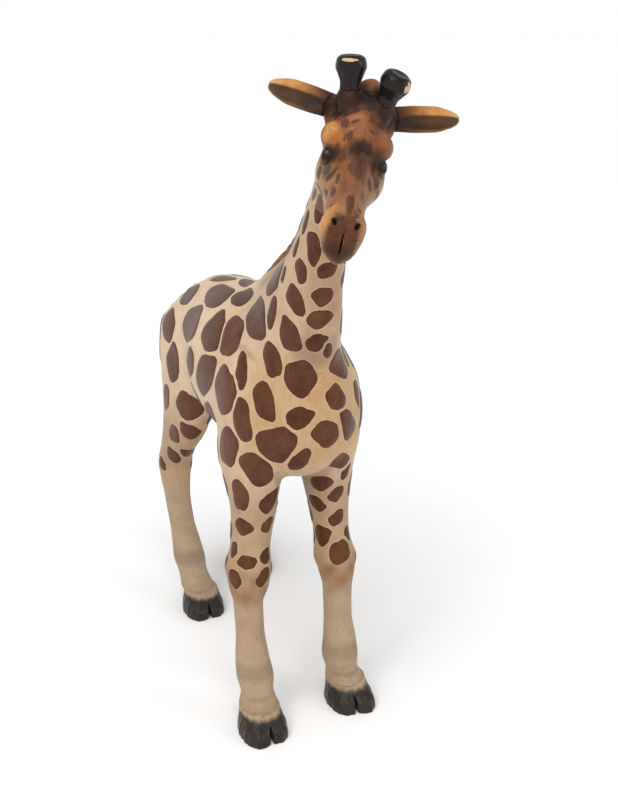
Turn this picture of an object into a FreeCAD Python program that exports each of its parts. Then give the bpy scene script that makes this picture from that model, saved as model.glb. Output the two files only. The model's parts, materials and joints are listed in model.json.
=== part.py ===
import FreeCAD, Part
import math
import os
import Sketcher

Vector = FreeCAD.Vector
Rotation = FreeCAD.Rotation
Placement = FreeCAD.Placement

doc = FreeCAD.newDocument("carved_giraffe")
sheet = doc.addObject("Spreadsheet::Sheet", "Sizes")
rows_used = 0


def size(alias, value):
    """Write one driving size into the sheet and return the expression that reads it."""
    global rows_used
    rows_used += 1
    sheet.set("A%d" % rows_used, alias)
    sheet.set("B%d" % rows_used, str(value))
    sheet.setAlias("B%d" % rows_used, alias)
    return "Sizes." + alias


# ---- driving sizes, millimetres -------------------------------------------------------
# The statue is drawn about its own midline, then moved so that the middle of its
# footprint stands on the origin.
MOVE_X = -11.5
MOVE_Y = 6.5
SOLE_TOP = 29.0
LEG_JOINT = 296.0
size("move_x", MOVE_X)
size("move_y", MOVE_Y)
size("sole_top", SOLE_TOP)
size("leg_joint", LEG_JOINT)
size("fit_gap", 0.15)
size("cleft_width", 5.0)
size("cleft_depth", 34.0)
size("leg_dowel_radius", 7.0)
size("leg_dowel_length", 64.0)
size("hoof_pin_radius", 3.5)
size("hoof_pin_length", 34.0)
size("neck_dowel_radius", 12.0)
size("neck_dowel_length", 96.0)
size("head_dowel_radius", 8.0)
size("head_dowel_length", 64.0)
size("peg_radius", 2.5)
size("peg_length", 22.0)
size("eye_radius", 6.0)
size("cutter_side", 700.0)

# Each row of a table is one oval section: station, centre, centre, half width, half depth.
# Torso: station along Y, centre X, centre Z, half width across, half height.
TORSO = [
    (-178, 0, 386, 7, 10), (-170, 0, 385, 30, 38), (-152, 0, 383, 50, 62),
    (-125, 0, 382, 62, 77), (-90, 0, 383.5, 70, 87), (-50, 0, 390.5, 77, 94),
    (0, 0, 395, 82, 98), (45, 0, 395, 83, 96), (100, 0, 394, 76, 93),
    (160, 0, 392, 70, 88), (215, 0, 387, 65, 79), (262, 0, 378, 52, 66),
    (285, 0, 372, 34, 46), (294, 0, 368, 8, 12),
]
# Neck, legs, mane and tail: station along Z, centre X, centre Y, half width, half depth.
NECK = [
    (400, 0, -56, 56, 96), (440, 0, -76, 50, 96), (475, 0, -98, 43, 88),
    (512, 0, -123, 36.5, 73), (540, 0, -147, 31, 54), (565, 0, -168, 27.5, 43),
    (600, 0, -194, 24.5, 36), (640, 0, -222, 23, 32), (672, 0, -243, 23, 32),
    (690, 0, -252, 21, 28),
]
# The ridge at the nape that carries the mane down to the withers.
CREST = [
    (470, 0, -40, 22, 82), (490, 0, -40, 20, 76), (515, 0, -68, 17, 60), (540, 0, -104, 14, 44),
    (560, 0, -130, 12, 34), (585, 0, -155, 10, 28), (610, 0, -184, 9, 24), (632, 0, -208, 8, 18),
]
LEGS = {
    "front_right": [
        (456, -30, -72, 8, 18), (440, -35, -75, 24, 40), (410, -39, -79, 35, 56),
        (375, -42, -79, 38, 64), (340, -43, -75, 38, 64), (312, -46, -72, 34.5, 60),
        (288, -47, -79, 30.5, 48), (264, -48, -87, 27, 36), (240, -51, -91, 24.5, 28),
        (215, -55, -95, 23.5, 25), (190, -59, -99, 27, 28), (168, -60, -102, 24, 25),
        (145, -62, -105, 17.5, 19), (112, -62, -110, 17, 18.5), (80, -62, -117, 20, 21),
        (58, -61, -124, 22, 23), (42, -61, -131, 19.5, 21), (SOLE_TOP, -62, -139, 23, 27),
    ],
    "front_left": [
        (456, 32, -72, 8, 18), (440, 37, -75, 24, 40), (410, 41, -79, 36, 56),
        (375, 43, -82, 39, 62), (340, 43.5, -79, 37, 60), (312, 44, -80, 32, 50),
        (288, 44, -83, 29, 40), (264, 44.5, -87, 25.5, 31.5), (240, 45, -93, 22.5, 26),
        (215, 46, -99, 21, 23), (190, 48, -104, 25, 26), (168, 50, -105, 21.5, 23),
        (145, 51, -106, 17.5, 19), (112, 51, -108, 17, 18.5), (80, 52, -112, 20, 21),
        (58, 51.5, -115, 22, 23), (42, 53, -117, 19.5, 21), (SOLE_TOP, 55, -121, 23, 27),
    ],
    "rear_right": [
        (446, -28, 204, 8, 22), (428, -35, 206, 26, 53), (398, -41, 202, 38, 84),
        (362, -42, 201, 40, 86), (328, -45, 198, 36, 82), (300, -50, 198, 31, 76),
        (275, -54, 203, 26.5, 69), (250, -58, 211, 23.5, 56), (225, -62, 222, 22, 40),
        (200, -65, 229, 23.5, 27), (178, -66, 226, 21, 23), (148, -65, 222, 18, 20),
        (115, -63, 211, 17.5, 19), (86, -60, 201, 20, 22), (64, -58, 194, 22, 24),
        (46, -56, 184, 20, 21.5), (SOLE_TOP, -53, 170, 23, 27),
    ],
    "rear_left": [
        (446, 28, 206, 8, 22), (428, 35, 206, 26, 53), (398, 41, 204, 38, 82),
        (362, 42, 208, 40, 83), (328, 46, 214, 35, 79), (300, 50, 224, 30, 69),
        (275, 53, 239, 25.5, 55), (250, 56, 256, 23, 44), (225, 60, 274, 22, 34),
        (200, 62, 288, 23.5, 27), (178, 62, 290, 21, 23), (148, 60, 289, 18, 20),
        (115, 58, 285, 17.5, 19), (86, 56, 281, 20, 22), (64, 55, 280, 22, 24),
        (46, 54, 274, 20, 21.5), (SOLE_TOP, 53, 266, 23, 27),
    ],
}
# Hooves: where the sole stands, then the sections above it.
HOOF_PLACES = {
    "front_right": (-62, -151), "front_left": (57, -129),
    "rear_right": (-51, 154), "rear_left": (52, 252),
}
HOOF = [
    (0, 0, 0, 27, 36), (10, 0, 1, 26.5, 35), (20, 0, 5, 25, 31),
    (SOLE_TOP, 0, 10, 23.5, 27),
]
# The cleft starts in front of the toes and stays below the top of the hoof.
HOOF_REACH = 40.0
CLEFT_DROP = 4.0
MANE = [
    (486, 0, 16, 6, 22), (500, 0, 0, 7, 22), (515, 0, -24, 7, 20), (530, 0, -48, 7, 18),
    (545, 0, -72, 6.5, 17), (560, 0, -98, 6, 15), (585, 0, -132, 6, 13), (610, 0, -158, 6, 12),
    (640, 0, -187, 6, 10), (668, 0, -208, 5.5, 9), (692, 0, -220, 3, 6),
]
TAIL = [
    (404, 0, 280, 6, 6.5), (392, 1, 291, 6.5, 7), (374, 3, 299, 6, 6.5), (345, 8, 303, 5, 5.2),
    (315, 15, 304, 4.8, 5), (285, 22, 303, 4.6, 4.8), (262, 26, 302, 4.8, 5), (246, 28, 301, 8, 8.2),
    (218, 31, 301, 9.5, 10), (192, 32, 302, 6.5, 7.2), (176, 33, 303, 2, 2.2),
]
# Head frame: X to the giraffe's left, Y out of the forehead, Z towards the muzzle.
HEAD_CENTRE = (4.5, -261.5, 694.0)
HEAD_TURN = -18.0
HEAD_LEAN = 13.0
FACE_SLOPE = 56.0
HEAD = [
    (-46, 0, -12, 8, 10), (-40, 0, -10, 19, 21), (-22, 0, -6, 25, 29), (0, 0, -6, 27.5, 32),
    (25, 0, -9, 26.5, 30.5), (50, 0, -8, 22.5, 26.5), (75, 0, -4, 18, 21), (92, 0, -2, 18.5, 20),
    (104, 0, -3, 18, 19), (114, 0, -4, 14.5, 15), (120, 0, -5, 9, 10), (124, 0, -6, 3, 3.5),
]
# Swellings of the head: centre in the head frame, then half sizes across, out and along.
PAIRED_SWELLINGS = {
    "brow": ((20.5, 9, 6), (13.5, 14, 16)),
    "cheek": ((18, -13, 36), (12.5, 16, 29)),
    "nostril": ((10, 5, 94), (10.5, 12, 14)),
}
MIDDLE_SWELLINGS = {
    "forehead_bump": ((0, 22, 14), (8, 10, 12)),
    "crown_bump": ((3, 9, -46), (12, 12, 12)),
}
# Ear outline along its own axis: share of the length, half height, half thickness.
EAR = [(-0.12, 8, 6), (0.1, 10, 6), (0.35, 12.5, 5.5), (0.65, 12.5, 5), (0.88, 8.5, 4), (1.0, 3, 2)]
EAR_ROOTS = {"left": (24, -8, -30), "right": (-24, -8, -30)}
EAR_TIPS = {"left": (94, -12, -50), "right": (-90, -12, -40)}
# Ossicone profile: distance along the horn, radius.
OSSICONE = [(-8, 12), (0, 11), (10, 10), (20, 9.8), (27, 12), (34, 14.4), (41, 13), (45.5, 7)]
OSSICONE_ROOTS = {"left": (14, 12, -22), "right": (-14, 12, -24)}
OSSICONE_TIPS = {"left": (21.5, 41, -43), "right": (-22, 36, -53)}
EYES = {"left": (25, 1.5, 24.5), "right": (-25, 1.5, 24.5)}

# ---- frames -----------------------------------------------------------------------------
STATUE = Placement(Vector(MOVE_X, MOVE_Y, 0), Rotation())
slope = math.radians(FACE_SLOPE)
FACE = Rotation(
    Vector(1, 0, 0),
    Vector(0, -math.sin(slope), math.cos(slope)),
    Vector(0, -math.cos(slope), -math.sin(slope)),
    "XYZ",
)
TURN = Rotation(Vector(0, 0, 1), HEAD_TURN)
LEAN = Rotation(Vector(0, 1, 0), HEAD_LEAN)
HEAD_FRAME = STATUE.multiply(Placement(Vector(*HEAD_CENTRE), TURN.multiply(LEAN).multiply(FACE)))
# The neck meets the torso and the head on two flat faces leaning with the neck.
NECK_PLANE = Placement(Vector(0, -25, 490), Rotation(Vector(1, 0, 0), 25))
HEAD_PLANE = Placement(Vector(0, -214, 630), Rotation(Vector(1, 0, 0), 32))
NECK_PLANE = STATUE.multiply(NECK_PLANE)
HEAD_PLANE = STATUE.multiply(HEAD_PLANE)

LEVEL = Rotation(Vector(0, 0, 1), 90)
LEVEL_REVERSED = Rotation(Vector(0, 0, 1), -90)
UPRIGHT = Rotation(Vector(0, 0, 1), Vector(1, 0, 0), Vector(0, 1, 0), "XYZ")


# ---- feature helpers ----------------------------------------------------------------------
def oval(name, place, half_minor, half_major):
    """An oval whose long half-axis lies along the local X of its placement."""
    edge = doc.addObject("Part::Ellipse", name)
    major = size(name + "_long", half_major)
    minor = size(name + "_short", half_minor)
    edge.MajorRadius = half_major
    edge.MinorRadius = half_minor
    edge.setExpression("MajorRadius", major)
    edge.setExpression("MinorRadius", minor)
    edge.Placement = place
    return edge


def loft(name, sections):
    """A smooth solid skin through a run of ovals."""
    skin = doc.addObject("Part::Loft", name)
    skin.Sections = sections
    skin.Solid = True
    skin.Ruled = False
    return skin


def upright_stack(name, table, frame=STATUE, shift=(0, 0), seat=LEVEL):
    """Sections stacked along Z, longest fore and aft."""
    ovals = []
    for number, (level, x, y, half_width, half_depth) in enumerate(table):
        place = Placement(Vector(x + shift[0], y + shift[1], level), seat)
        place = frame.multiply(place)
        ovals.append(oval("%s_oval_%d" % (name, number), place, half_width, half_depth))
    return loft(name, ovals)


def ellipsoid(name, place, across, out, along):
    """An egg-shaped swelling, sized along its local X, Y and Z."""
    ball = doc.addObject("Part::Ellipsoid", name)
    ball.setExpression("Radius2", size(name + "_across", across))
    ball.setExpression("Radius3", size(name + "_out", out))
    ball.setExpression("Radius1", size(name + "_along", along))
    ball.Placement = place
    return ball


def value_of(alias):
    return float(sheet.getContents(sheet.getCellFromAlias(alias)).lstrip("'"))


def above(name, plane):
    """A large block standing on a plane, used to part one piece from the next."""
    block = doc.addObject("Part::Box", name)
    for side in ("Length", "Width", "Height"):
        block.setExpression(side, "Sizes.cutter_side")
    half = value_of("cutter_side") / 2
    block.Placement = plane.multiply(Placement(Vector(-half, -half, 0), Rotation()))
    return block


def level_plane(height):
    return Placement(Vector(0, 0, height), Rotation())


def rod(name, middle, radius, length, gap=False):
    """A round rod centred on its placement; with a gap it is the hole for that rod."""
    bar = doc.addObject("Part::Cylinder", name)
    spare = " + Sizes.fit_gap" if gap else ""
    bar.setExpression("Radius", "Sizes.%s%s" % (radius, spare))
    bar.setExpression("Height", "Sizes.%s%s" % (length, spare + spare))
    reach = value_of(length) + (2 * value_of("fit_gap") if gap else 0)
    bar.Placement = middle.multiply(Placement(Vector(0, 0, -reach / 2), Rotation()))
    return bar


def fuse(name, shapes):
    joined = doc.addObject("Part::MultiFuse", name)
    joined.Shapes = shapes
    return joined


def cut(name, base, tool):
    rest = doc.addObject("Part::Cut", name)
    rest.Base = base
    rest.Tool = tool
    return rest


def common(name, base, tool):
    shared = doc.addObject("Part::Common", name)
    shared.Base = base
    shared.Tool = tool
    return shared


def along(start, end, frame):
    """A placement at start whose local Z points to end, given in a frame."""
    direction = Vector(*end) - Vector(*start)
    return frame.multiply(Placement(Vector(*start), Rotation(Vector(0, 0, 1), direction)))


finished = []


def finish(name, item):
    item.Label = name
    finished.append((name, item))


# ---- rods that hold the statue together -----------------------------------------------------
NECK_DOWEL_OFFSET = Vector(0, -70, 0)
TAIL_ROOT = Vector(0, 286, 390)
PEG_DEPTH = 5.0
LEG_DOWELS = {
    "front_right": (-46, -82), "front_left": (44.5, -84),
    "rear_right": (-52, 214), "rear_left": (50, 232),
}
neck_dowel = NECK_PLANE.multiply(Placement(NECK_DOWEL_OFFSET, Rotation()))
leg_rods = []
leg_holes = []
for name, (x, y) in LEG_DOWELS.items():
    middle = STATUE.multiply(Placement(Vector(x, y, LEG_JOINT), Rotation()))
    leg_rods.append(rod("rod_" + name, middle, "leg_dowel_radius", "leg_dowel_length"))
    leg_holes.append(rod("bore_" + name, middle, "leg_dowel_radius", "leg_dowel_length", True))
hoof_rods = []
hoof_holes = {}
for name, table in LEGS.items():
    x, y = table[-1][1], table[-1][2]
    middle = STATUE.multiply(Placement(Vector(x, y, SOLE_TOP), Rotation()))
    hoof_rods.append(rod("pin_" + name, middle, "hoof_pin_radius", "hoof_pin_length"))
    hoof_holes[name] = rod("pinhole_" + name, middle, "hoof_pin_radius", "hoof_pin_length", True)
neck_rod = rod("neck_rod", neck_dowel, "neck_dowel_radius", "neck_dowel_length")
neck_hole = rod("neck_bore", neck_dowel, "neck_dowel_radius", "neck_dowel_length", True)
head_rod = rod("head_rod", HEAD_PLANE, "head_dowel_radius", "head_dowel_length")
head_hole = rod("head_bore", HEAD_PLANE, "head_dowel_radius", "head_dowel_length", True)
tail_middle = STATUE.multiply(Placement(TAIL_ROOT, Rotation(Vector(1, 0, 0), -90)))
tail_rod = rod("tail_rod", tail_middle, "peg_radius", "peg_length")
tail_hole = rod("tail_bore", tail_middle, "peg_radius", "peg_length", True)

# ---- torso ----------------------------------------------------------------------------------
torso_ovals = []
for number, (y, x, z, half_width, half_height) in enumerate(TORSO):
    place = STATUE.multiply(Placement(Vector(x, y, z), UPRIGHT))
    torso_ovals.append(oval("barrel_oval_%d" % number, place, half_width, half_height))
barrel = loft("barrel", torso_ovals)
leg_skins = {name: upright_stack("limb_" + name, table) for name, table in LEGS.items()}
neck_skin = upright_stack("neck_skin", NECK)
crest_skin = upright_stack("crest_skin", CREST, seat=LEVEL_REVERSED)

above_neck = above("above_neck", NECK_PLANE)
above_head = above("above_head", HEAD_PLANE)
above_legs = above("above_legs", level_plane(LEG_JOINT))
body_mass = fuse("body_mass", [barrel] + list(leg_skins.values()) + [neck_skin, crest_skin])
body_upper = common("body_upper", body_mass, above_legs)
body_plain = cut("body_plain", body_upper, above_neck)
torso_bores = fuse("torso_bores", leg_holes + [neck_hole, tail_hole])
torso = cut("torso", body_plain, torso_bores)
finish("torso", torso)

# ---- neck -----------------------------------------------------------------------------------
neck_mass = fuse("neck_mass", [neck_skin, crest_skin])
neck_top = cut("neck_below_head", neck_mass, above_head)
neck_plain = common("neck_plain", neck_top, above_neck)
neck_bores = fuse("neck_bores", [neck_hole, head_hole])

# ---- legs and hooves ------------------------------------------------------------------------
for name, skin in leg_skins.items():
    lower = cut("lower_" + name, skin, above_legs)
    dowel_hole = leg_holes[list(LEGS).index(name)]
    bores = fuse("bores_" + name, [dowel_hole, hoof_holes[name]])
    finish("leg_" + name, cut("leg_" + name, lower, bores))

for name, (x, y) in HOOF_PLACES.items():
    skin = upright_stack("hoof_skin_" + name, HOOF, shift=(x, y))
    cleft = doc.addObject("Part::Box", "cleft_" + name)
    cleft.setExpression("Length", "Sizes.cleft_width")
    cleft.setExpression("Width", "Sizes.cleft_depth")
    cleft.setExpression("Height", "Sizes.sole_top")
    corner = Vector(x - value_of("cleft_width") / 2, y - HOOF_REACH, -CLEFT_DROP)
    cleft.Placement = STATUE.multiply(Placement(corner, Rotation()))
    bores = fuse("hoof_cuts_" + name, [cleft, hoof_holes[name]])
    finish("hoof_" + name, cut("hoof_" + name, skin, bores))

# ---- head -----------------------------------------------------------------------------------
head_ovals = []
for number, (z, x, y, half_width, half_height) in enumerate(HEAD):
    place = HEAD_FRAME.multiply(Placement(Vector(x, y, z), LEVEL))
    head_ovals.append(oval("skull_oval_%d" % number, place, half_width, half_height))
skull = loft("skull", head_ovals)
features = [skull]
for side, sign in (("left", 1), ("right", -1)):
    for title, ((x, y, z), halves) in PAIRED_SWELLINGS.items():
        place = HEAD_FRAME.multiply(Placement(Vector(sign * x, y, z), Rotation()))
        features.append(ellipsoid("%s_%s" % (title, side), place, *halves))
for title, (centre, halves) in MIDDLE_SWELLINGS.items():
    place = HEAD_FRAME.multiply(Placement(Vector(*centre), Rotation()))
    features.append(ellipsoid(title, place, *halves))
neck_stub = common("neck_stub", neck_skin, above_head)
features.append(neck_stub)
head_mass = fuse("head_mass", features)

peg_rods = {"ossicone": [], "ear": []}
peg_holes = {"ossicone": {}, "ear": {}}
ear_frames = {}
ossicone_frames = {}
for side in ("left", "right"):
    ear_frames[side] = along(EAR_ROOTS[side], EAR_TIPS[side], HEAD_FRAME)
    ossicone_frames[side] = along(OSSICONE_ROOTS[side], OSSICONE_TIPS[side], HEAD_FRAME)
for kind, frames in (("ear", ear_frames), ("ossicone", ossicone_frames)):
    for side, frame in frames.items():
        label = "%s_%s" % (kind, side)
        middle = frame.multiply(Placement(Vector(0, 0, PEG_DEPTH), Rotation()))
        peg_rods[kind].append(rod("peg_" + label, middle, "peg_radius", "peg_length"))
        hole = rod("peghole_" + label, middle, "peg_radius", "peg_length", True)
        peg_holes[kind][side] = hole

eyes = {}
sockets = []
for side, spot in EYES.items():
    eye = doc.addObject("Part::Sphere", "eye_" + side)
    eye.setExpression("Radius", "Sizes.eye_radius")
    eye.Placement = HEAD_FRAME.multiply(Placement(Vector(*spot), Rotation()))
    eyes[side] = eye
    socket = doc.addObject("Part::Sphere", "socket_" + side)
    socket.setExpression("Radius", "Sizes.eye_radius + Sizes.fit_gap")
    socket.Placement = eye.Placement
    sockets.append(socket)
    finish("eye_" + side, eye)
openings = sockets + list(peg_holes["ear"].values()) + list(peg_holes["ossicone"].values())
head_cuts = fuse("head_cuts", openings + [head_hole])
head = cut("head", head_mass, head_cuts)
finish("head", head)
neck_clear = cut("neck_clear", neck_plain, head_mass)
neck = cut("neck", neck_clear, neck_bores)
finish("neck", neck)

# ---- ears -----------------------------------------------------------------------------------
for side, frame in ear_frames.items():
    reach = (Vector(*EAR_TIPS[side]) - Vector(*EAR_ROOTS[side])).Length
    # The broad side of the ear faces out of the forehead.
    out = HEAD_FRAME.Rotation.multVec(Vector(0, 1, 0))
    axis = frame.Rotation.multVec(Vector(0, 0, 1))
    across = axis.cross(out)
    turned = Rotation(across, axis.cross(across), axis, "ZXY")
    blade = Placement(frame.Base, turned)
    ear_ovals = []
    for number, (share, half_height, half_thickness) in enumerate(EAR):
        place = blade.multiply(Placement(Vector(0, 0, share * reach), Rotation()))
        title = "ear_%s_oval_%d" % (side, number)
        ear_ovals.append(oval(title, place, half_thickness, half_height))
    ear_skin = loft("ear_skin_" + side, ear_ovals)
    ear_seated = cut("ear_seated_" + side, ear_skin, head_mass)
    finish("ear_" + side, cut("ear_" + side, ear_seated, peg_holes["ear"][side]))

# ---- ossicones: turned horns with a knob ------------------------------------------------------
for side, frame in ossicone_frames.items():
    body = doc.addObject("PartDesign::Body", "horn_" + side)
    sketch = body.newObject("Sketcher::SketchObject", "horn_profile_" + side)
    origin = [item for item in body.Origin.OriginFeatures if item.Role == "XZ_Plane"][0]
    sketch.AttachmentSupport = [(origin, "")]
    sketch.MapMode = "FlatFace"
    outline = [(0, OSSICONE[0][0])]
    outline += [(radius, distance) for distance, radius in OSSICONE]
    outline += [(0, OSSICONE[-1][0] + 2)]
    count = len(outline)
    for number in range(count):
        start = outline[number]
        end = outline[(number + 1) % count]
        line = Part.LineSegment(Vector(start[0], start[1], 0), Vector(end[0], end[1], 0))
        sketch.addGeometry(line, False)
    for number in range(count):
        following = (number + 1) % count
        sketch.addConstraint(Sketcher.Constraint("Coincident", number, 2, following, 1))
    for number, (radius, distance) in enumerate(outline):
        for kind, amount in (("DistanceX", radius), ("DistanceY", distance)):
            label = "horn_%s_%d_%s" % (side, number, kind[-1].lower())
            constraint = Sketcher.Constraint(kind, -1, 1, number, 1, float(amount))
            index = sketch.addConstraint(constraint)
            sketch.renameConstraint(index, label)
            sketch.setExpression("Constraints." + label, size(label, amount))
    turned = body.newObject("PartDesign::Revolution", "horn_turned_" + side)
    turned.Profile = sketch
    turned.ReferenceAxis = (sketch, ["V_Axis"])
    turned.Angle = 360
    body.Tip = turned
    body.Placement = frame
    seated = cut("horn_seated_" + side, body, head_mass)
    finish("ossicone_" + side, cut("ossicone_" + side, seated, peg_holes["ossicone"][side]))

# ---- mane and tail ----------------------------------------------------------------------------
mane_skin = upright_stack("mane_skin", MANE)
mane_off_crest = cut("mane_off_crest", mane_skin, crest_skin)
mane_off_neck = cut("mane_off_neck", mane_off_crest, neck_skin)
mane_off_body = cut("mane_off_body", mane_off_neck, barrel)
finish("mane", cut("mane", mane_off_body, skull))
tail_skin = upright_stack("tail_skin", TAIL)
tail_seated = cut("tail_seated", tail_skin, body_plain)
finish("tail", cut("tail", tail_seated, tail_hole))

# ---- rods as nodes of their own -----------------------------------------------------------------
finish("neck_dowel", neck_rod)
finish("head_dowel", head_rod)
finish("tail_peg", tail_rod)


def group(name, members):
    """Separate identical solids kept as one node."""
    bundle = doc.addObject("Part::Compound", name)
    bundle.Links = members
    finish(name, bundle)


group("leg_dowels", leg_rods)
group("hoof_pins", hoof_rods)
group("ear_pegs", peg_rods["ear"])
group("ossicone_pegs", peg_rods["ossicone"])

# ---- recompute, prove and write ------------------------------------------------------------------
doc.recompute()
problems = []
for item in doc.Objects:
    if "Invalid" in item.State or "Error" in item.State:
        problems.append("%s: state %s" % (item.Name, item.State))
for name, item in finished:
    shape = item.Shape
    if shape.isNull() or not shape.isValid() or not shape.Solids:
        problems.append("%s: shape not usable" % name)
if problems:
    raise RuntimeError("; ".join(problems))
os.makedirs("parts", exist_ok=True)
for name, item in finished:
    item.Shape.exportStep("parts/%s.step" % name)
    box = item.Shape.BoundBox
    print(
        "%-20s solids %d volume %.0f box %.1f..%.1f %.1f..%.1f %.1f..%.1f"
        % (
            name, len(item.Shape.Solids), item.Shape.Volume,
            box.XMin, box.XMax, box.YMin, box.YMax, box.ZMin, box.ZMax,
        )
    )
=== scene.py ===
import json
import math

import bmesh
import bpy
import numpy as np
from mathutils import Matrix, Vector

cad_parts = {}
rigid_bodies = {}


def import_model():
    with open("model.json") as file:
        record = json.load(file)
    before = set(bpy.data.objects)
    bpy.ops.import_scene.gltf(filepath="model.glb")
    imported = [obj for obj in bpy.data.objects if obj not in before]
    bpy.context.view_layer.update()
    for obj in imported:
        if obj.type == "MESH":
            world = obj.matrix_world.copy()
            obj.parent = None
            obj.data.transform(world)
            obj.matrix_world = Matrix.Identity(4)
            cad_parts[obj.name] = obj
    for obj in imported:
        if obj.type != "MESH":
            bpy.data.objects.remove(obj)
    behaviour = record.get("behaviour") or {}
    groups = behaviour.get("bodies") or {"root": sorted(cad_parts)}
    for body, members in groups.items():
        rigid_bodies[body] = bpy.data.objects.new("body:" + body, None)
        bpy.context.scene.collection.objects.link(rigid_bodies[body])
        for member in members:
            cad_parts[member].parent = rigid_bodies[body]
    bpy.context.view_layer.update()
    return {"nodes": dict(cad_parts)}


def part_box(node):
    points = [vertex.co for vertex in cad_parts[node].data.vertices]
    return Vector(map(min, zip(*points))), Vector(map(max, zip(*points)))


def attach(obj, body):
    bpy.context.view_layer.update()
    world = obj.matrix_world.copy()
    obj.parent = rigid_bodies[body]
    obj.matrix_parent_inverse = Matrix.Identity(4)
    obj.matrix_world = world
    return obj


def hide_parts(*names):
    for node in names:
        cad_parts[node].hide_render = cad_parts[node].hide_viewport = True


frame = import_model()

# ---- carved form: the same sections, in millimetres, as the CAD lofts ----
# Only the legs end 1 mm lower, inside the hooves' joint face.
# Torso rows: station along Y, centre X, centre Z, half width, half height.
TORSO = [
    (-178, 0, 386, 7, 10), (-170, 0, 385, 30, 38), (-152, 0, 383, 50, 62),
    (-125, 0, 382, 62, 77), (-90, 0, 383.5, 70, 87), (-50, 0, 390.5, 77, 94),
    (0, 0, 395, 82, 98), (45, 0, 395, 83, 96), (100, 0, 394, 76, 93),
    (160, 0, 392, 70, 88), (215, 0, 387, 65, 79), (262, 0, 378, 52, 66),
    (285, 0, 372, 34, 46), (294, 0, 368, 8, 12),
]
# Upright rows: station along Z, centre X, centre Y, half width, half depth.
NECK = [
    (400, 0, -56, 56, 96), (440, 0, -76, 50, 96), (475, 0, -98, 43, 88),
    (512, 0, -123, 36.5, 73), (540, 0, -147, 31, 54), (565, 0, -168, 27.5, 43),
    (600, 0, -194, 24.5, 36), (640, 0, -222, 23, 32), (672, 0, -243, 23, 32),
    (690, 0, -252, 21, 28),
]
CREST = [
    (470, 0, -40, 22, 82), (490, 0, -40, 20, 76), (515, 0, -68, 17, 60), (540, 0, -104, 14, 44),
    (560, 0, -130, 12, 34), (585, 0, -155, 10, 28), (610, 0, -184, 9, 24), (632, 0, -208, 8, 18),
]
LEGS = {
    "front_right": [
        (456, -30, -72, 8, 18), (440, -35, -75, 24, 40), (410, -39, -79, 35, 56),
        (375, -42, -79, 38, 64), (340, -43, -75, 38, 64), (312, -46, -72, 34.5, 60),
        (288, -47, -79, 30.5, 48), (264, -48, -87, 27, 36), (240, -51, -91, 24.5, 28),
        (215, -55, -95, 23.5, 25), (190, -59, -99, 27, 28), (168, -60, -102, 24, 25),
        (145, -62, -105, 17.5, 19), (112, -62, -110, 17, 18.5), (80, -62, -117, 20, 21),
        (58, -61, -124, 22, 23), (42, -61, -131, 19.5, 21), (28, -62, -139, 23, 27),
    ],
    "front_left": [
        (456, 32, -72, 8, 18), (440, 37, -75, 24, 40), (410, 41, -79, 36, 56),
        (375, 43, -82, 39, 62), (340, 43.5, -79, 37, 60), (312, 44, -80, 32, 50),
        (288, 44, -83, 29, 40), (264, 44.5, -87, 25.5, 31.5), (240, 45, -93, 22.5, 26),
        (215, 46, -99, 21, 23), (190, 48, -104, 25, 26), (168, 50, -105, 21.5, 23),
        (145, 51, -106, 17.5, 19), (112, 51, -108, 17, 18.5), (80, 52, -112, 20, 21),
        (58, 51.5, -115, 22, 23), (42, 53, -117, 19.5, 21), (28, 55, -121, 23, 27),
    ],
    "rear_right": [
        (446, -28, 204, 8, 22), (428, -35, 206, 26, 53), (398, -41, 202, 38, 84),
        (362, -42, 201, 40, 86), (328, -45, 198, 36, 82), (300, -50, 198, 31, 76),
        (275, -54, 203, 26.5, 69), (250, -58, 211, 23.5, 56), (225, -62, 222, 22, 40),
        (200, -65, 229, 23.5, 27), (178, -66, 226, 21, 23), (148, -65, 222, 18, 20),
        (115, -63, 211, 17.5, 19), (86, -60, 201, 20, 22), (64, -58, 194, 22, 24),
        (46, -56, 184, 20, 21.5), (28, -53, 170, 23, 27),
    ],
    "rear_left": [
        (446, 28, 206, 8, 22), (428, 35, 206, 26, 53), (398, 41, 204, 38, 82),
        (362, 42, 208, 40, 83), (328, 46, 214, 35, 79), (300, 50, 224, 30, 69),
        (275, 53, 239, 25.5, 55), (250, 56, 256, 23, 44), (225, 60, 274, 22, 34),
        (200, 62, 288, 23.5, 27), (178, 62, 290, 21, 23), (148, 60, 289, 18, 20),
        (115, 58, 285, 17.5, 19), (86, 56, 281, 20, 22), (64, 55, 280, 22, 24),
        (46, 54, 274, 20, 21.5), (28, 53, 266, 23, 27),
    ],
}
HOOF_PLACES = {
    "front_right": (-62, -151), "front_left": (57, -129),
    "rear_right": (-51, 154), "rear_left": (52, 252),
}
HOOF = [(0, 0, 0, 27, 36), (10, 0, 1, 26.5, 35), (20, 0, 5, 25, 31), (29, 0, 10, 23.5, 27)]
MANE = [
    (486, 0, 16, 6, 22), (500, 0, 0, 7, 22), (515, 0, -24, 7, 20), (530, 0, -48, 7, 18),
    (545, 0, -72, 6.5, 17), (560, 0, -98, 6, 15), (585, 0, -132, 6, 13), (610, 0, -158, 6, 12),
    (640, 0, -187, 6, 10), (668, 0, -208, 5.5, 9), (692, 0, -220, 3, 6),
]
TAIL = [
    (404, 0, 280, 6, 6.5), (392, 1, 291, 6.5, 7), (374, 3, 299, 6, 6.5), (345, 8, 303, 5, 5.2),
    (315, 15, 304, 4.8, 5), (285, 22, 303, 4.6, 4.8), (262, 26, 302, 4.8, 5), (246, 28, 301, 8, 8.2),
    (218, 31, 301, 9.5, 10), (192, 32, 302, 6.5, 7.2), (176, 33, 303, 2, 2.2),
]
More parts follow.
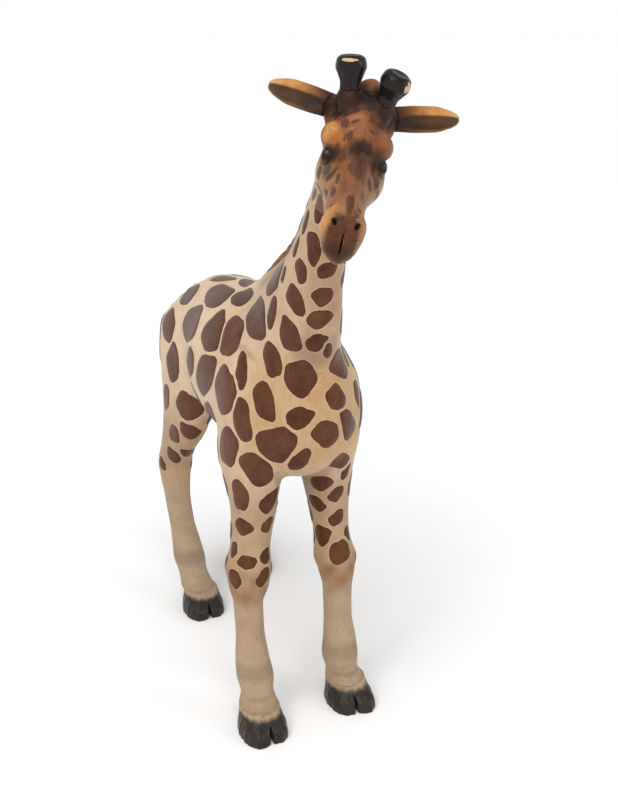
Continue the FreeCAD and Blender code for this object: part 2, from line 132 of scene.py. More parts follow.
# Skull rows in the head frame: station towards the muzzle, centre across, centre out, halves.
SKULL = [
    (-46, 0, -12, 8, 10), (-40, 0, -10, 19, 21), (-22, 0, -6, 25, 29), (0, 0, -6, 27.5, 32),
    (25, 0, -9, 26.5, 30.5), (50, 0, -8, 22.5, 26.5), (75, 0, -4, 18, 21), (92, 0, -2, 18.5, 20),
    (104, 0, -3, 18, 19), (114, 0, -4, 14.5, 15), (120, 0, -5, 9, 10), (124, 0, -6, 3, 3.5),
]
HEAD_CENTRE = (4.5, -261.5, 694.0)
HEAD_TURN = -18.0
HEAD_LEAN = 13.0
FACE_SLOPE = 56.0
# Joint faces: a height, or a point and the lean of the face in degrees.
LEG_JOINT = 296.0
SOLE_TOP = 29.0
NECK_JOINT = ((0, -25, 490), 25.0)
HEAD_JOINT = ((0, -214, 630), 32.0)
TORSO_FRONT = -178.0
# Roots and tips in the head frame.
EARS = {
    "left": ((24, -8, -30), (94, -12, -50)),
    "right": ((-24, -8, -30), (-90, -12, -40)),
}
HORNS = {
    "left": ((13.4, 10, -20.5), (20.9, 39, -41.5)),
    "right": ((-14, 12, -24), (-22, 36, -53)),
}
HORN_PROFILE = [(-8, 12), (0, 11), (10, 10), (20, 9.8), (27, 12), (34, 14.4), (41, 13), (45.5, 7)]
# Paint wear and painted highlights at the horn tops: strength, place and half sizes across, in front and
# along.
HORN_WEAR_AND_HIGHLIGHT = {
    "left": (0.62, (-9, 9, 38), (8, 9, 8)),
    "right": (0.8, (0, 11.5, 41), (12, 7, 2.2)),
}
EYES = {"left": (25, 1.5, 24.5), "right": (-25, 1.5, 24.5)}
EYE_RADIUS = 6.0

# The statue's own midline and front, found in the frame, give the shift to the row frame.
dowel_low, dowel_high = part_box("neck_dowel")
torso_low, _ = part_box("torso")
SHIFT = np.array([
    (dowel_low.x + dowel_high.x) / 2,
    torso_low.y - TORSO_FRONT / 1000,
    0.0,
])


# ---- rounded forms as distance fields, negative inside ----
def smooth_rows(rows):
    """Sample a table of sections every millimetre with slopes that never overshoot."""
    table = np.array(sorted(rows), float)
    stations = table[:, 0]
    fine = np.arange(stations[0], stations[-1] + 0.5, 1.0)
    gaps = np.diff(stations)
    place = np.clip(np.searchsorted(stations, fine, side="right") - 1, 0, len(gaps) - 1)
    share = (fine - stations[place]) / gaps[place]
    columns = []
    for column in table.T[1:]:
        rises = np.diff(column) / gaps
        slopes = np.empty_like(column)
        slopes[0], slopes[-1] = rises[0], rises[-1]
        for index in range(1, len(column) - 1):
            before, after = rises[index - 1], rises[index]
            same_way = before * after > 0
            slopes[index] = 2 * before * after / (before + after) if same_way else 0.0
        start, end = column[place], column[place + 1]
        lift = gaps[place] * (slopes[place] * share * (1 - share) ** 2
                              - slopes[place + 1] * share ** 2 * (1 - share))
        blend = share * share * (3 - 2 * share)
        columns.append(start + (end - start) * blend + lift)
    return fine, columns


def oval_distance(u, v, half_u, half_v):
    """Near distance to an oval."""
    reach = np.sqrt((u / half_u) ** 2 + (v / half_v) ** 2) + 1e-9
    steep = np.sqrt((u / half_u ** 2) ** 2 + (v / half_v ** 2) ** 2) + 1e-9
    return reach * (reach - 1) / steep


class Loft:
    """A rounded limb: ovals strung along one axis of its frame."""

    def __init__(self, rows, axis):
        self.axis = axis
        self.others = [index for index in range(3) if index != axis]
        self.fine, self.columns = smooth_rows(rows)

    def sections(self, stations):
        held = np.clip(stations, self.fine[0], self.fine[-1])
        return [np.interp(held, self.fine, column) for column in self.columns]

    def __call__(self, points):
        stations = points[:, self.axis]
        middle_u, middle_v, half_u, half_v = self.sections(stations)
        u = points[:, self.others[0]] - middle_u
        v = points[:, self.others[1]] - middle_v
        side = oval_distance(u, v, half_u, half_v)
        beyond = np.maximum(self.fine[0] - stations, stations - self.fine[-1])
        outside = np.hypot(np.maximum(side, 0), beyond)
        return np.where(beyond > 0, outside, np.maximum(side, beyond))


def egg(points, centre, halves):
    """Near distance to an ellipsoid."""
    local = (points - np.array(centre, float)) / np.array(halves, float)
    reach = np.linalg.norm(local, axis=1) + 1e-9
    steep = np.linalg.norm(local / np.array(halves, float), axis=1) + 1e-9
    return reach * (reach - 1) / steep


def join(a, b, softness):
    """The union of two forms with a soft crease."""
    blend = np.clip(0.5 + 0.5 * (b - a) / softness, 0, 1)
    return b + (a - b) * blend - softness * blend * (1 - blend)


def carve(a, b, softness):
    """Form a with form b cut out of it, the edge softened."""
    return -join(-a, b, softness)


def turn(axis, degrees):
    c, s = math.cos(math.radians(degrees)), math.sin(math.radians(degrees))
    rows = {
        "x": ((1, 0, 0), (0, c, -s), (0, s, c)),
        "y": ((c, 0, s), (0, 1, 0), (-s, 0, c)),
        "z": ((c, -s, 0), (s, c, 0), (0, 0, 1)),
    }
    return np.array(rows[axis], float)


def unit(vector):
    vector = np.asarray(vector, float)
    return vector / np.linalg.norm(vector)


class Frame:
    """A turned set of axes: rows of axes are its X, Y and Z seen from the parent."""

    def __init__(self, origin, axes, parent=None):
        self.origin = np.asarray(origin, float)
        self.axes = np.asarray(axes, float)
        self.parent = parent

    def inward(self, points):
        if self.parent:
            points = self.parent.inward(points)
        return (points - self.origin) @ self.axes.T

    def outward(self, points):
        points = np.asarray(points, float) @ self.axes + self.origin
        return self.parent.outward(points) if self.parent else points


slope = math.radians(FACE_SLOPE)
FACE = np.array([
    (1, 0, 0),
    (0, -math.sin(slope), math.cos(slope)),
    (0, -math.cos(slope), -math.sin(slope)),
])
head = Frame(HEAD_CENTRE, FACE @ (turn("z", HEAD_TURN) @ turn("y", HEAD_LEAN)).T)
barrel = Loft(TORSO, 1)
neck_form = Loft(NECK, 2)
crest_form = Loft(CREST, 2)
leg_forms = {name: Loft(rows, 2) for name, rows in LEGS.items()}
skull_form = Loft(SKULL, 2)
mane_form = Loft(MANE, 2)
tail_form = Loft(TAIL, 2)


def body_field(points):
    """Trunk, neck and legs as one carved mass."""
    field = join(barrel(points), neck_form(points), 30.0)
    field = join(field, crest_form(points), 16.0)
    for form in leg_forms.values():
        field = join(field, form(points), 15.0)
    return field


# Swellings joined to the skull in order: both sides or one, place, half sizes and softness.
SWELLINGS = [
    (True, (18.5, -13, 34), (13.5, 16, 22), 9),
    (False, (19.5, 9, 11), (13, 14, 13), 10),
    (False, (-22, 9, 8.5), (13.5, 14, 12.5), 10),
    (True, (10, 5, 94), (10.5, 12, 14), 6),
    (False, (0, 22, 14), (8, 10, 12), 8),
    (False, (3, 7, -45), (12, 12, 12), 5),
    (False, (0, 12, 62), (8.5, 9.5, 32), 5),
]


def head_field(points):
    """The skull with brows, cheeks, muzzle, sockets, nostrils and mouth."""
    local = head.inward(points)
    half = np.hstack([np.abs(local[:, :1]), local[:, 1:]])
    field = skull_form(local)
    for both, centre, halves, softness in SWELLINGS:
        field = join(field, egg(half if both else local, centre, halves), softness)
    for root, tip in HORNS.values():
        collar = np.array(root) + 6 * unit(np.subtract(tip, root))
        field = join(field, egg(local, collar, (12.5, 12.5, 12.5)), 9)
    for root, tip in EARS.values():
        collar = np.array(root) + 3 * unit(np.subtract(tip, root))
        field = join(field, egg(local, collar, (9, 10, 12)), 9)
        flare = np.array(root) + np.array([0, 1, 11])
        field = join(field, egg(local, flare, (8, 9, 13)), 9)
    field = carve(field, egg(half, (25, 15, 48), (11, 11, 24)), 9)
    field = carve(field, egg(half, (33, 1, 26), (12, 7.5, 10)), 3)
    lid = (half - np.array([25.0, 1.0, 26])) @ turn("x", 20)
    field = join(field, egg(lid, (0, 0, 0), (6.0, 5.6, 8.0)), 2.0)
    field = carve(field, egg(lid, (6.4, -0.8, 0), (4, 1.6, 6.2)), 0.8)
    field = join(field, egg(half, (9.5, 14.5, 97), (6.5, 4.5, 8)), 4)
    nostril = (half - np.array([10.5, 18.0, 96])) @ turn("y", -28)
    field = carve(field, egg(nostril, (0, 0, 0), (1.5, 4.5, 4.0)), 1.6)
    field = carve(field, egg(local, (0, 11, 115), (0.6, 9, 11)), 1.6)
    field = carve(field, egg(half, (10, -6, 113), (16, 1.2, 12)), 2.0)
    ripple = np.sin(local @ (0.31, 0.17, 0.23)) * np.sin(local @ (-0.19, 0.29, 0.27))
    return field + 0.35 * ripple


def whole_field(points):
    return join(body_field(points), head_field(points), 8.0)


# ---- meshing ----
BLOCK = 12
PATCH_GAP = 3.6
NO_PATCH = 9.0


def sample_blocks(field, low, counts, step):
    """Sample a field on a grid, in full only in the blocks that its surface may cross."""
    values = np.empty(counts, np.float32)
    reach = step * BLOCK * math.sqrt(3) / 2
    blocks = [range(0, count, BLOCK) for count in counts]
    corners = np.array([(i, j, k) for i in blocks[0] for j in blocks[1] for k in blocks[2]])
    middles = field(low + step * (corners + BLOCK / 2))
    for corner, middle in zip(corners, middles):
        part = tuple(slice(c, min(c + BLOCK, n)) for c, n in zip(corner, counts))
        if abs(middle) > 1.5 * reach + 6:
            values[part] = middle
            continue
        ticks = [np.arange(s.start, s.stop) for s in part]
        grid = np.stack(np.meshgrid(*ticks, indexing="ij"), -1).reshape(-1, 3)
        values[part] = field(low + step * grid).reshape([len(t) for t in ticks])
    return values


def surface_nets(field, low, high, step):
    """One point in each cell that the surface crosses, joined by four-sided faces."""
    low = np.array(low, float)
    counts = np.ceil((np.array(high) - low) / step).astype(int) + 1
    values = sample_blocks(field, low, counts, step)
    inside = values < 0
    offsets = [(i, j, k) for i in (0, 1) for j in (0, 1) for k in (0, 1)]
    tally = np.zeros(counts - 1, np.int8)
    for i, j, k in offsets:
        tally += inside[i:counts[0] - 1 + i, j:counts[1] - 1 + j, k:counts[2] - 1 + k]
    crossed = (tally > 0) & (tally < 8)
    cells = np.argwhere(crossed)
    number = np.full(crossed.shape, -1)
    number[crossed] = np.arange(len(cells))
    total = np.zeros((len(cells), 3))
    hits = np.zeros(len(cells))
    for offset in offsets:
        for axis in range(3):
            if offset[axis]:
                continue
            start = cells + offset
            end = start.copy()
            end[:, axis] += 1
            at_start = values[tuple(start.T)]
            at_end = values[tuple(end.T)]
            changes = (at_start < 0) != (at_end < 0)
            share = at_start[changes] / (at_start[changes] - at_end[changes])
            spots = np.tile(np.array(offset, float), (changes.sum(), 1))
            spots[:, axis] = share
            total[changes] += spots
            hits[changes] += 1
    points = low + step * (cells + total / hits[:, None])
    faces = []
    for axis in range(3):
        first, second = [index for index in range(3) if index != axis]
        lower = np.take(inside, range(counts[axis] - 1), axis=axis)
        upper = np.take(inside, range(1, counts[axis]), axis=axis)
        edges = np.argwhere(lower != upper)
        whole = (edges[:, first] > 0) & (edges[:, second] > 0)
        whole &= (edges[:, first] < counts[first] - 1) & (edges[:, second] < counts[second] - 1)
        edges = edges[whole]
        corners = []
        for step_first, step_second in ((-1, -1), (0, -1), (0, 0), (-1, 0)):
            cell = edges.copy()
            cell[:, first] += step_first
            cell[:, second] += step_second
            corners.append(number[tuple(cell.T)])
        quads = np.stack(corners, 1)
        rising = inside[tuple(edges.T)]
        forward = rising if axis != 1 else ~rising
        quads[~forward] = quads[~forward][:, ::-1]
        faces.append(quads)
    return points, np.concatenate(faces)


def gradient(field, points, reach=0.5):
    slopes = np.empty_like(points)
    for axis in range(3):
        nudge = np.zeros(3)
        nudge[axis] = reach
        slopes[:, axis] = (field(points + nudge) - field(points - nudge)) / (2 * reach)
    return slopes


def settle(field, points, steps=2, limit=1.5):
    """Move points onto the surface of a field."""
    for _ in range(steps):
        slopes = gradient(field, points)
        square = np.maximum((slopes * slopes).sum(1), 1e-4)
        move = (field(points) / square)[:, None] * slopes
        length = np.linalg.norm(move, axis=1, keepdims=True)
        points = points - move * np.minimum(1, limit / np.maximum(length, 1e-9))
    return points


def normals_of(field, points, reach=0.8):
    slopes = gradient(field, points, reach)
    return slopes / np.maximum(np.linalg.norm(slopes, axis=1, keepdims=True), 1e-9)


def hollowness(field, points, reach):
    """How far the surface cups in towards the viewer here: above 0 in a crease."""
    spread = np.zeros(len(points))
    level = field(points)
    for axis in range(3):
        nudge = np.zeros(3)
        nudge[axis] = reach
        spread += field(points + nudge) + field(points - nudge) - 2 * level
    return -spread / reach


# ---- markings ----
# Each row: a place on the surface, half length, half width, and the tilt of the long axis. Most of
# the body rows came out of a measuring script, not by hand.
NECK_SPOTS = [
    (-21, -227, 625, 17, 6, 21), (-23, -220, 638, 9, 4, 45), (-25, -199, 608, 16, 5, 32),
    (-19, -207, 582, 20, 9, 11), (-27, -177, 580, 14, 5, 32), (-24, -185, 556, 14, 9, 2),
    (-30, -146, 544, 13, 7, 32), (-27, -112, 535, 34, 20, 68), (-26, -174, 523, 18, 12, -33),
    (-4, -207, 560, 12, 9, 50), (-5, -198, 531, 12, 10, 72), (-38, -132, 502, 20, 10, 14),
    (-6, -194, 506, 15, 10, 70), (-29, -163, 485, 20, 15, -20), (-7, -186, 479, 13, 10, 57),
    (7, -182, 469, 11, 6, -20),
]
FLANK_SPOTS = [
    (-14, 134, 482, 36, 11, -10), (-3, 62, 490, 38, 11, 9), (-40, 72, 476, 46, 20, 2),
    (-29, 3, 488, 28, 15, -2), (-46, 190, 452, 38, 18, 80), (-40, -87, 486, 36, 23, -78),
    (-68, -3, 450, 32, 25, -75), (-58, -46, 457, 29, 23, -59), (-69, 100, 436, 48, 25, 80),
    (-74, 200, 410, 34, 19, -70), (-83, 60, 396, 30, 19, 60), (-82, -8, 400, 40, 22, 52),
    (-78, -77, 402, 32, 27, -80), (-64, -102, 432, 24, 10, -31), (-78, 164, 366, 30, 20, 20),
    (-71, 8, 344, 32, 15, 55), (-80, 200, 308, 24, 16, 40), (-67, 136, 313, 26, 20, 82),
    (-71, -122, 381, 26, 15, -12), (-79, -92, 340, 29, 21, 42),
]
CHEST_SPOTS = [
    (-41, -140, 452, 21, 13, -36), (31, -157, 444, 27, 15, -55), (-18, -167, 437, 21, 18, 0),
    (-52, -145, 407, 23, 14, -28), (62, -135, 400, 16, 11, 8), (22, -169, 410, 16, 13, -40),
    (-21, -168, 394, 16, 12, 69), (41, -161, 374, 27, 13, -39), (9, -175, 372, 19, 15, -47),
    (-42, -157, 360, 28, 21, 45), (-18, -163, 340, 21, 10, 29), (39, -137, 323, 22, 12, -51),
    (-57, -131, 322, 24, 18, -34), (53, -125, 303, 12, 7, 10),
]
THIGH_SPOTS = [
    (-66, 141, 274, 18, 14, -87), (-78, 178, 260, 18, 13, 60), (-76, 194, 221, 15, 12, -10),
    (-56, 180, 229, 19, 10, -62), (-87, 219, 202, 11, 8, -44),
]
FRONT_LEG_SPOTS = [
    (-71, -108, 285, 20, 14, -2), (-37, -122, 280, 18, 12, 50), (-40, -117, 247, 11, 9, 38),
    (-68, -111, 246, 13, 10, -81), (-77, -102, 215, 10, 7, 0), (-43, -118, 208, 10, 9, 48),
    (-67, -120, 205, 12, 8, -89), (-48, -125, 185, 13, 9, 47), (-82, -115, 183, 12, 10, -16),
    (26, -115, 288, 16, 10, 70), (44, -120, 274, 12, 8, 36), (24, -104, 259, 14, 9, -72),
    (45, -119, 243, 12, 8, 43), (28, -111, 219, 13, 12, 0), (60, -115, 219, 10, 7, -17),
    (46, -127, 201, 16, 13, 38),
]
# The same in the head frame. Eight of the first nine rows began as script output too.
FACE_SPOTS = [
    (-17, 24, 1, 6, 4, 10), (10, 28, -8, 6, 4.5, -20), (-11, 25, 14, 5, 3.2, 10),
    (-2, 20, 43, 7.5, 4.8, 0), (-14.5, 11, 51, 5.5, 3.2, -10), (-20, -3, 62, 5.5, 3.2, -10),
    (-14.5, 7, 63, 5.5, 3.2, -8), (11, 13, 62, 5, 2.4, 0), (24, 6, 42, 6, 2.8, 0),
    (0, 20, 75, 6, 3.8, 10), (-27, -6, 40, 7, 3.2, 5), (-28, -14, 56, 8, 4, 0),
    (-26, -16, 30, 7, 4, 10), (27, -8, 50, 7, 3.5, 0), (25, -14, 66, 7, 4, 10),
    (4, 20, 30, 4.5, 3, 0), (7, 16, 84, 4, 2.5, 0),
]


class Spots:
    """Painted patches: irregular ovals lying on the carved surface."""

    def __init__(self, seed):
        self.random = np.random.default_rng(seed)
        self.rows = []

    def add(self, place, normal, half_long, half_short, tilt, roughness=0.04):
        reference = np.array([0, 0, 1.0]) if abs(normal[2]) < 0.75 else np.array([0, -1.0, 0])
        up = unit(reference - normal * (reference @ normal))
        side = np.cross(up, normal)
        angle = math.radians(tilt)
        self.rows.append({
            "place": np.asarray(place, float),
            "normal": normal,
            "long": math.cos(angle) * up + math.sin(angle) * side,
            "across": math.cos(angle) * side - math.sin(angle) * up,
            "halves": (half_long, half_short),
            "taper": self.random.uniform(-0.28, 0.28),
            "phases": self.random.uniform(0, 2 * math.pi, 3),
            "wobble": roughness,
            "tone": self.random.uniform(0, 1),
        })

    def distance(self, points, row):
        """Signed distance from one patch's outline, measured over the surface."""
        offset = points - row["place"]
        u = offset @ row["long"]
        v = offset @ row["across"]
        flat = np.hypot(u, v) + 1e-6
        stretch = np.linalg.norm(offset, axis=1) / flat
        facing = offset @ row["normal"]
        half_long, half_short = row["halves"]
        u = u * stretch
        v = v * stretch / (1 + row["taper"] * np.clip(u / half_long, -1.2, 1.2))
        angle = np.arctan2(v / half_short, u / half_long)
        waves = sum(
            np.cos(order * angle + phase) for order, phase in zip((3, 4, 5), row["phases"])
        )
        edge = oval_distance(u, v, half_long, half_short) - row["wobble"] * half_short * waves
        return np.where(facing < -1.3 * half_long, 99.0, edge)

    def nearest(self, points, gap=0.0):
        """Signed distance to the nearest outline, held a gap off its neighbour, and its tone."""
        best = np.full(len(points), 99.0)
        second = np.full(len(points), 99.0)
        tone = np.zeros(len(points))
        for row in self.rows:
            apart = np.abs(points - row["place"]).max(1)
            near = np.flatnonzero(apart < 1.4 * row["halves"][0] + 12)
            if not len(near):
                continue
            found = self.distance(points[near], row)
            closer = found < best[near]
            second[near] = np.where(closer, best[near], np.minimum(second[near], found))
            best[near[closer]] = found[closer]
            tone[near[closer]] = row["tone"]
        return np.maximum(best, (gap - (second - best)) / 2), tone


def place_measured(spots, table):
    places = np.array([row[:3] for row in table], float)
    places = settle(whole_field, places, 6, 6.0)
    normals = normals_of(whole_field, places)
    for place, normal, row in zip(places, normals, table):
        spots.add(place, normal, row[3], row[4], row[5])


def mirrored(table, random):
    """The far side's patches: the near side's, mirrored and nudged."""
    rows = []
    for x, y, z, half_long, half_short, tilt in table:
        if x > -20:
            continue
        y = y + random.uniform(-7, 7)
        z = z + random.uniform(-6, 6)
        size = random.uniform(0.88, 1.08)
        rows.append((-x, y, z, half_long * size, half_short * size, -tilt + random.uniform(-9, 9)))
    return rows


def skin_samples(random, count):
    """Points scattered over the body's surface."""
    found = []
    forms = [(barrel, 3.0), (neck_form, 1.4)] + [(form, 1.2) for form in leg_forms.values()]
    share = sum(weight for _, weight in forms)
    for form, weight in forms:
        amount = int(count * weight / share)
        station = random.uniform(form.fine[0], form.fine[-1], amount)
        middle_u, middle_v, half_u, half_v = form.sections(station)
        angle = random.uniform(0, 2 * math.pi, amount)
        points = np.empty((amount, 3))
        points[:, form.axis] = station
        points[:, form.others[0]] = middle_u + half_u * np.cos(angle)
        points[:, form.others[1]] = middle_v + half_v * np.sin(angle)
        found.append(points)
    points = settle(whole_field, np.concatenate(found), 5, 4.0)
    return points[np.abs(whole_field(points)) < 0.4]


def fill_bare_skin(spots, random):
    """Put patches wherever the unmeasured sides are still bare, the roomiest place first."""
    points = skin_samples(random, 9000)
    normals = normals_of(whole_field, points)
    x, y, z = points.T
    largest = np.interp(z, [170, 215, 260, 330, 400, 480, 530, 640], [8, 10, 14, 22, 30, 20, 12, 8])
    lowest = np.where(y > 60, 196, 178)
    bare = (z > lowest) & (normals[:, 2] > -0.72)
    bare &= head_field(points) > 5
    measured = normals @ unit((-0.33, -0.86, 0.32)) > 0.08
    measured &= ~((x > 5) & (y > 60) & (z < 330))
    bare &= ~measured
    points, normals, largest = points[bare], normals[bare], largest[bare]
    room, _ = spots.nearest(points)
    gap = np.interp(points[:, 2], [200, 400, 640], [4.5, 6.0, 4.5])
    for _ in range(260):
        best = np.argmax(np.minimum(room - gap, largest))
        half_short = min(room[best] - gap[best], largest[best])
        if half_short < 4.5:
            break
        tilt = random.uniform(-35, 35)
        half_long = half_short * random.uniform(1.08, 1.3)
        spots.add(points[best], normals[best], half_long, half_short, tilt)
        near = np.linalg.norm(points - points[best], axis=1) < 80
        found = spots.distance(points[near], spots.rows[-1])
        room[near] = np.minimum(room[near], found)


def body_markings():
    random = np.random.default_rng(7)
    spots = Spots(3)
    for table in (NECK_SPOTS, FLANK_SPOTS, CHEST_SPOTS, THIGH_SPOTS, FRONT_LEG_SPOTS):
        place_measured(spots, table)
    place_measured(spots, mirrored(FLANK_SPOTS, random))
    fill_bare_skin(spots, random)
    return spots


def face_markings():
    spots = Spots(11)
    table = []
    for x, y, z, half_long, half_short, tilt in FACE_SPOTS:
        place = head.outward(np.array([x, y, z], float))
        table.append((*place, half_long, half_short, tilt - 12))
    place_measured(spots, table)
    return spots


# ---- painting ----
CREAM = (0.60, 0.435, 0.285)
PALE = (0.67, 0.50, 0.345)
WARM = (0.50, 0.305, 0.155)
TAN = (0.395, 0.26, 0.152)
THROAT = (0.21, 0.13, 0.078)
STONE = (0.385, 0.278, 0.18)
HONEY = (0.27, 0.13, 0.05)
UMBER = (0.085, 0.05, 0.032)
FETLOCK = (0.20, 0.15, 0.105)
BRONZE = (0.215, 0.082, 0.030)
LEATHER = (0.32, 0.125, 0.055)
ORANGE = (0.42, 0.150, 0.035)
AMBER = (0.58, 0.275, 0.085)
OCHRE = (0.31, 0.15, 0.062)
RUST = (0.080, 0.025, 0.009)
SEAL = (0.018, 0.008, 0.005)
UNDER_EYE_SHADE = (0.040, 0.030, 0.024)
EAR_HOLLOW_SHADE = (0.020, 0.0125, 0.0095)
CHEEK = (0.34, 0.215, 0.12)
HORN_BLACK = (0.011, 0.008, 0.007)
HOOF_BLACK = (0.032, 0.025, 0.021)
HAIR = (0.235, 0.085, 0.042)
HAIR_LIGHT = (0.42, 0.19, 0.10)
EAR_TIP = (0.60, 0.40, 0.22)
PUPIL = (0.012, 0.008, 0.006)
IRIS = (0.09, 0.035, 0.012)


def flat(points, colour):
    """One colour at every point."""
    return np.tile(np.array(colour), (len(points), 1))


def mix(base, colour, share):
    share = np.clip(share, 0, 1)[:, None]
    return base * (1 - share) + np.array(colour) * share


def ramp(values, start, end):
    """0 at start, 1 at end, smooth between."""
    share = np.clip((values - start) / (end - start), 0, 1)
    return share * share * (3 - 2 * share)


def dab(points, centre, halves):
    """An airbrush dab: 1 over its middle, fading to 0 past its rim."""
    local = (points - np.array(centre, float)) / np.array(halves, float)
    return 1 - ramp(np.linalg.norm(local, axis=1), 0.4, 1.15)


def unspotted(colour, worn):
    """The paint layers of a piece that has no patches."""
    return {"spot": np.full(len(colour), NO_PATCH), "worn": worn, "paint": colour}


def airbrush(colour, points, dabs):
    for tint, share, centre, halves in dabs:
        colour = mix(colour, tint, share * dab(points, centre, halves))
    return colour


def hide_paint(points, cups):
    """Cream ground with a warm chest and airbrushed joints, a paler barrel top and tan neck and legs
    that are partly painted light and shade, and brown painted shade in the creases.
    """
    x, y, z = points.T
    colour = flat(points, CREAM)
    # Partly painted light: the upper barrel towards the back is paler, as if lit from above.
    colour = mix(colour, PALE, 0.8 * ramp(y, -70, 30) * ramp(z, 300, 380))
    colour = mix(colour, WARM, 0.85 * ramp(-y, 90, 150) * ramp(z, 300, 350) * ramp(-z, -480, -440))
    # Partly painted shade: tan on the legs under the body and on the lower neck, weaker on the neck's
    # lit right side.
    colour = mix(colour, TAN, 0.9 * ramp(-z, -330, -260))
    shade = 1 - 0.65 * ramp(-x, 12, 30)
    colour = mix(colour, TAN, 0.85 * shade * ramp(z, 440, 520) * ramp(-y, -10, 60))
    colour = mix(colour, THROAT, 0.6 * dab(points, (-8, -182, 468), (40, 34, 26)))
    colour = mix(colour, STONE, 0.9 * ramp(-z, -190, -150))
    blotch = 0.55 + 0.3 * np.sin(0.21 * x + 1.0) * np.sin(0.17 * z + 0.13 * y)
    colour = mix(colour, HONEY, blotch * ramp(-z, -206, -180) * ramp(z, 134, 166) * ramp(-y, -40, 0))
    colour = mix(colour, FETLOCK, 0.45 * ramp(-z, -84, -72) * ramp(z, 54, 66))
    colour = mix(colour, UMBER, 0.12 * ramp(-z, -46, -30))
    # Painted shade: brown in the creases, where the surface cups in.
    colour = mix(colour, UMBER, 0.26 * ramp(cups, 0.03, 0.12))
    return colour


# Airbrush dabs on the brows, forehead and bridge, in order: tint, strength, place and half sizes.
FACE_DABS = [
    (LEATHER, 0.9, (-8, 25, 3), (18, 16, 17)),
    (RUST, 0.6, (17, 24, -6), (14, 14, 16)),
    (LEATHER, 0.7, (24, 18, 9), (11, 14, 11)),
    (AMBER, 0.95, (-28, 17, 10), (11, 16, 12)),
    (ORANGE, 0.8, (-19, 20, 16), (10, 12, 9)),
    (RUST, 0.7, (-35, 10, 2), (5, 14, 14)),
    (RUST, 0.5, (30, 14, 2), (8, 12, 9)),
    (RUST, 0.9, (3, 24, 28), (18, 14, 12)),
    (SEAL, 0.75, (2, 28, 24), (10, 12, 9)),
    (SEAL, 0.7, (18, 15, 27), (10, 12, 12)),
    (RUST, 0.75, (5, 20, 42), (11, 10, 14)),
    (RUST, 0.85, (-15, 16, 30), (8, 10, 8)),
    (RUST, 0.9, (1, 21, 79), (5, 8, 13)),
    (OCHRE, 0.8, (-15, 9, 56), (7, 12, 20)),
    (OCHRE, 0.5, (14, 9, 58), (7, 12, 16)),
]


def to_segment(points, start, end):
    """Distance to a straight line between two points."""
    start, end = np.array(start, float), np.array(end, float)
    share = (points - start) @ (end - start) / ((end - start) @ (end - start))
    foot = start + np.clip(share, 0, 1)[:, None] * (end - start)
    return np.linalg.norm(points - foot, axis=1)


def face_paint(points, cups):
    """Amber brows, dark forehead and bridge, painted shade in the eye sockets, under the eyes and in the
    creases, pale cheeks and a dark muzzle.
    """
    local = head.inward(points)
    half = np.hstack([np.abs(local[:, :1]), local[:, 1:]])
    x, out, along = local.T
    colour = flat(points, CHEEK)
    colour = mix(colour, BRONZE, ramp(out, -2, 8))
    colour = mix(colour, OCHRE, ramp(along, 62, 84) * ramp(out, -18, -8))
    colour = mix(colour, BRONZE, ramp(-along, -16, 0))
    colour = airbrush(colour, local, FACE_DABS)
    colour = mix(colour, CREAM, 0.65 * ramp(-out, 4, 14) * ramp(along, 24, 36))
    # Painted shade: grey under the eye and near black in the socket under the brow.
    colour = mix(colour, UNDER_EYE_SHADE, 0.8 * dab(half, (24, 4, 40), (5, 9, 14)))
    colour = mix(colour, SEAL, 0.97 * dab(half, (27, 5, 26), (12, 11, 10)))
    colour = mix(colour, AMBER, 0.9 * dab(local, (-19, 5, 92), (9, 17, 15)))
    colour = mix(colour, AMBER, 0.55 * dab(local, (-13, 12, 82), (7, 10, 8)))
    colour = mix(colour, OCHRE, 0.9 * dab(local, (18, 6, 96), (9, 16, 16)))
    reach = 7 + 5 * ramp(along, 90, 104)
    nose = ramp(along, 82, 92) * (1 - ramp(np.abs(x + 1) - reach, 0, 5)) * ramp(out, -14, 2)
    colour = mix(colour, RUST, 0.92 * nose)
    colour = mix(colour, SEAL, 0.45 * nose * ramp(along, 106, 120))
    colour = mix(colour, SEAL, 0.95 * dab(half, (10.5, 18.5, 96), (4, 7, 5)))
    colour = mix(colour, SEAL, 0.8 * dab(local, (6, 20, -27), (24, 20, 13)))
    for root, tip in HORNS.values():
        colour = mix(colour, SEAL, 0.9 * ramp(-to_segment(local, root, tip), -21, -13))
    for root, tip in EARS.values():
        colour = mix(colour, SEAL, 0.85 * ramp(-to_segment(local, root, tip), -21, -12))
    colour = mix(colour, SEAL, 0.8 * dab(half, (31, -6, -22), (12, 15, 16)))
    colour = mix(colour, LEATHER, 0.95 * dab(local, (3, 12, -54), (14, 18, 11)))
    # Painted shade: near black in the head's creases and hollows.
    colour = mix(colour, SEAL, 0.7 * ramp(cups, 0.08, 0.28))
    return colour


# ---- pieces ----
def leaning_plane(joint):
    """The point and upward direction of a joint face tipped about X."""
    place, degrees = joint
    angle = math.radians(degrees)
    return place, (0, -math.sin(angle), math.cos(angle))


def flip(plane):
    place, direction = plane
    return place, tuple(-value for value in direction)


def level(height, direction):
    return (0, 0, height), (0, 0, direction)


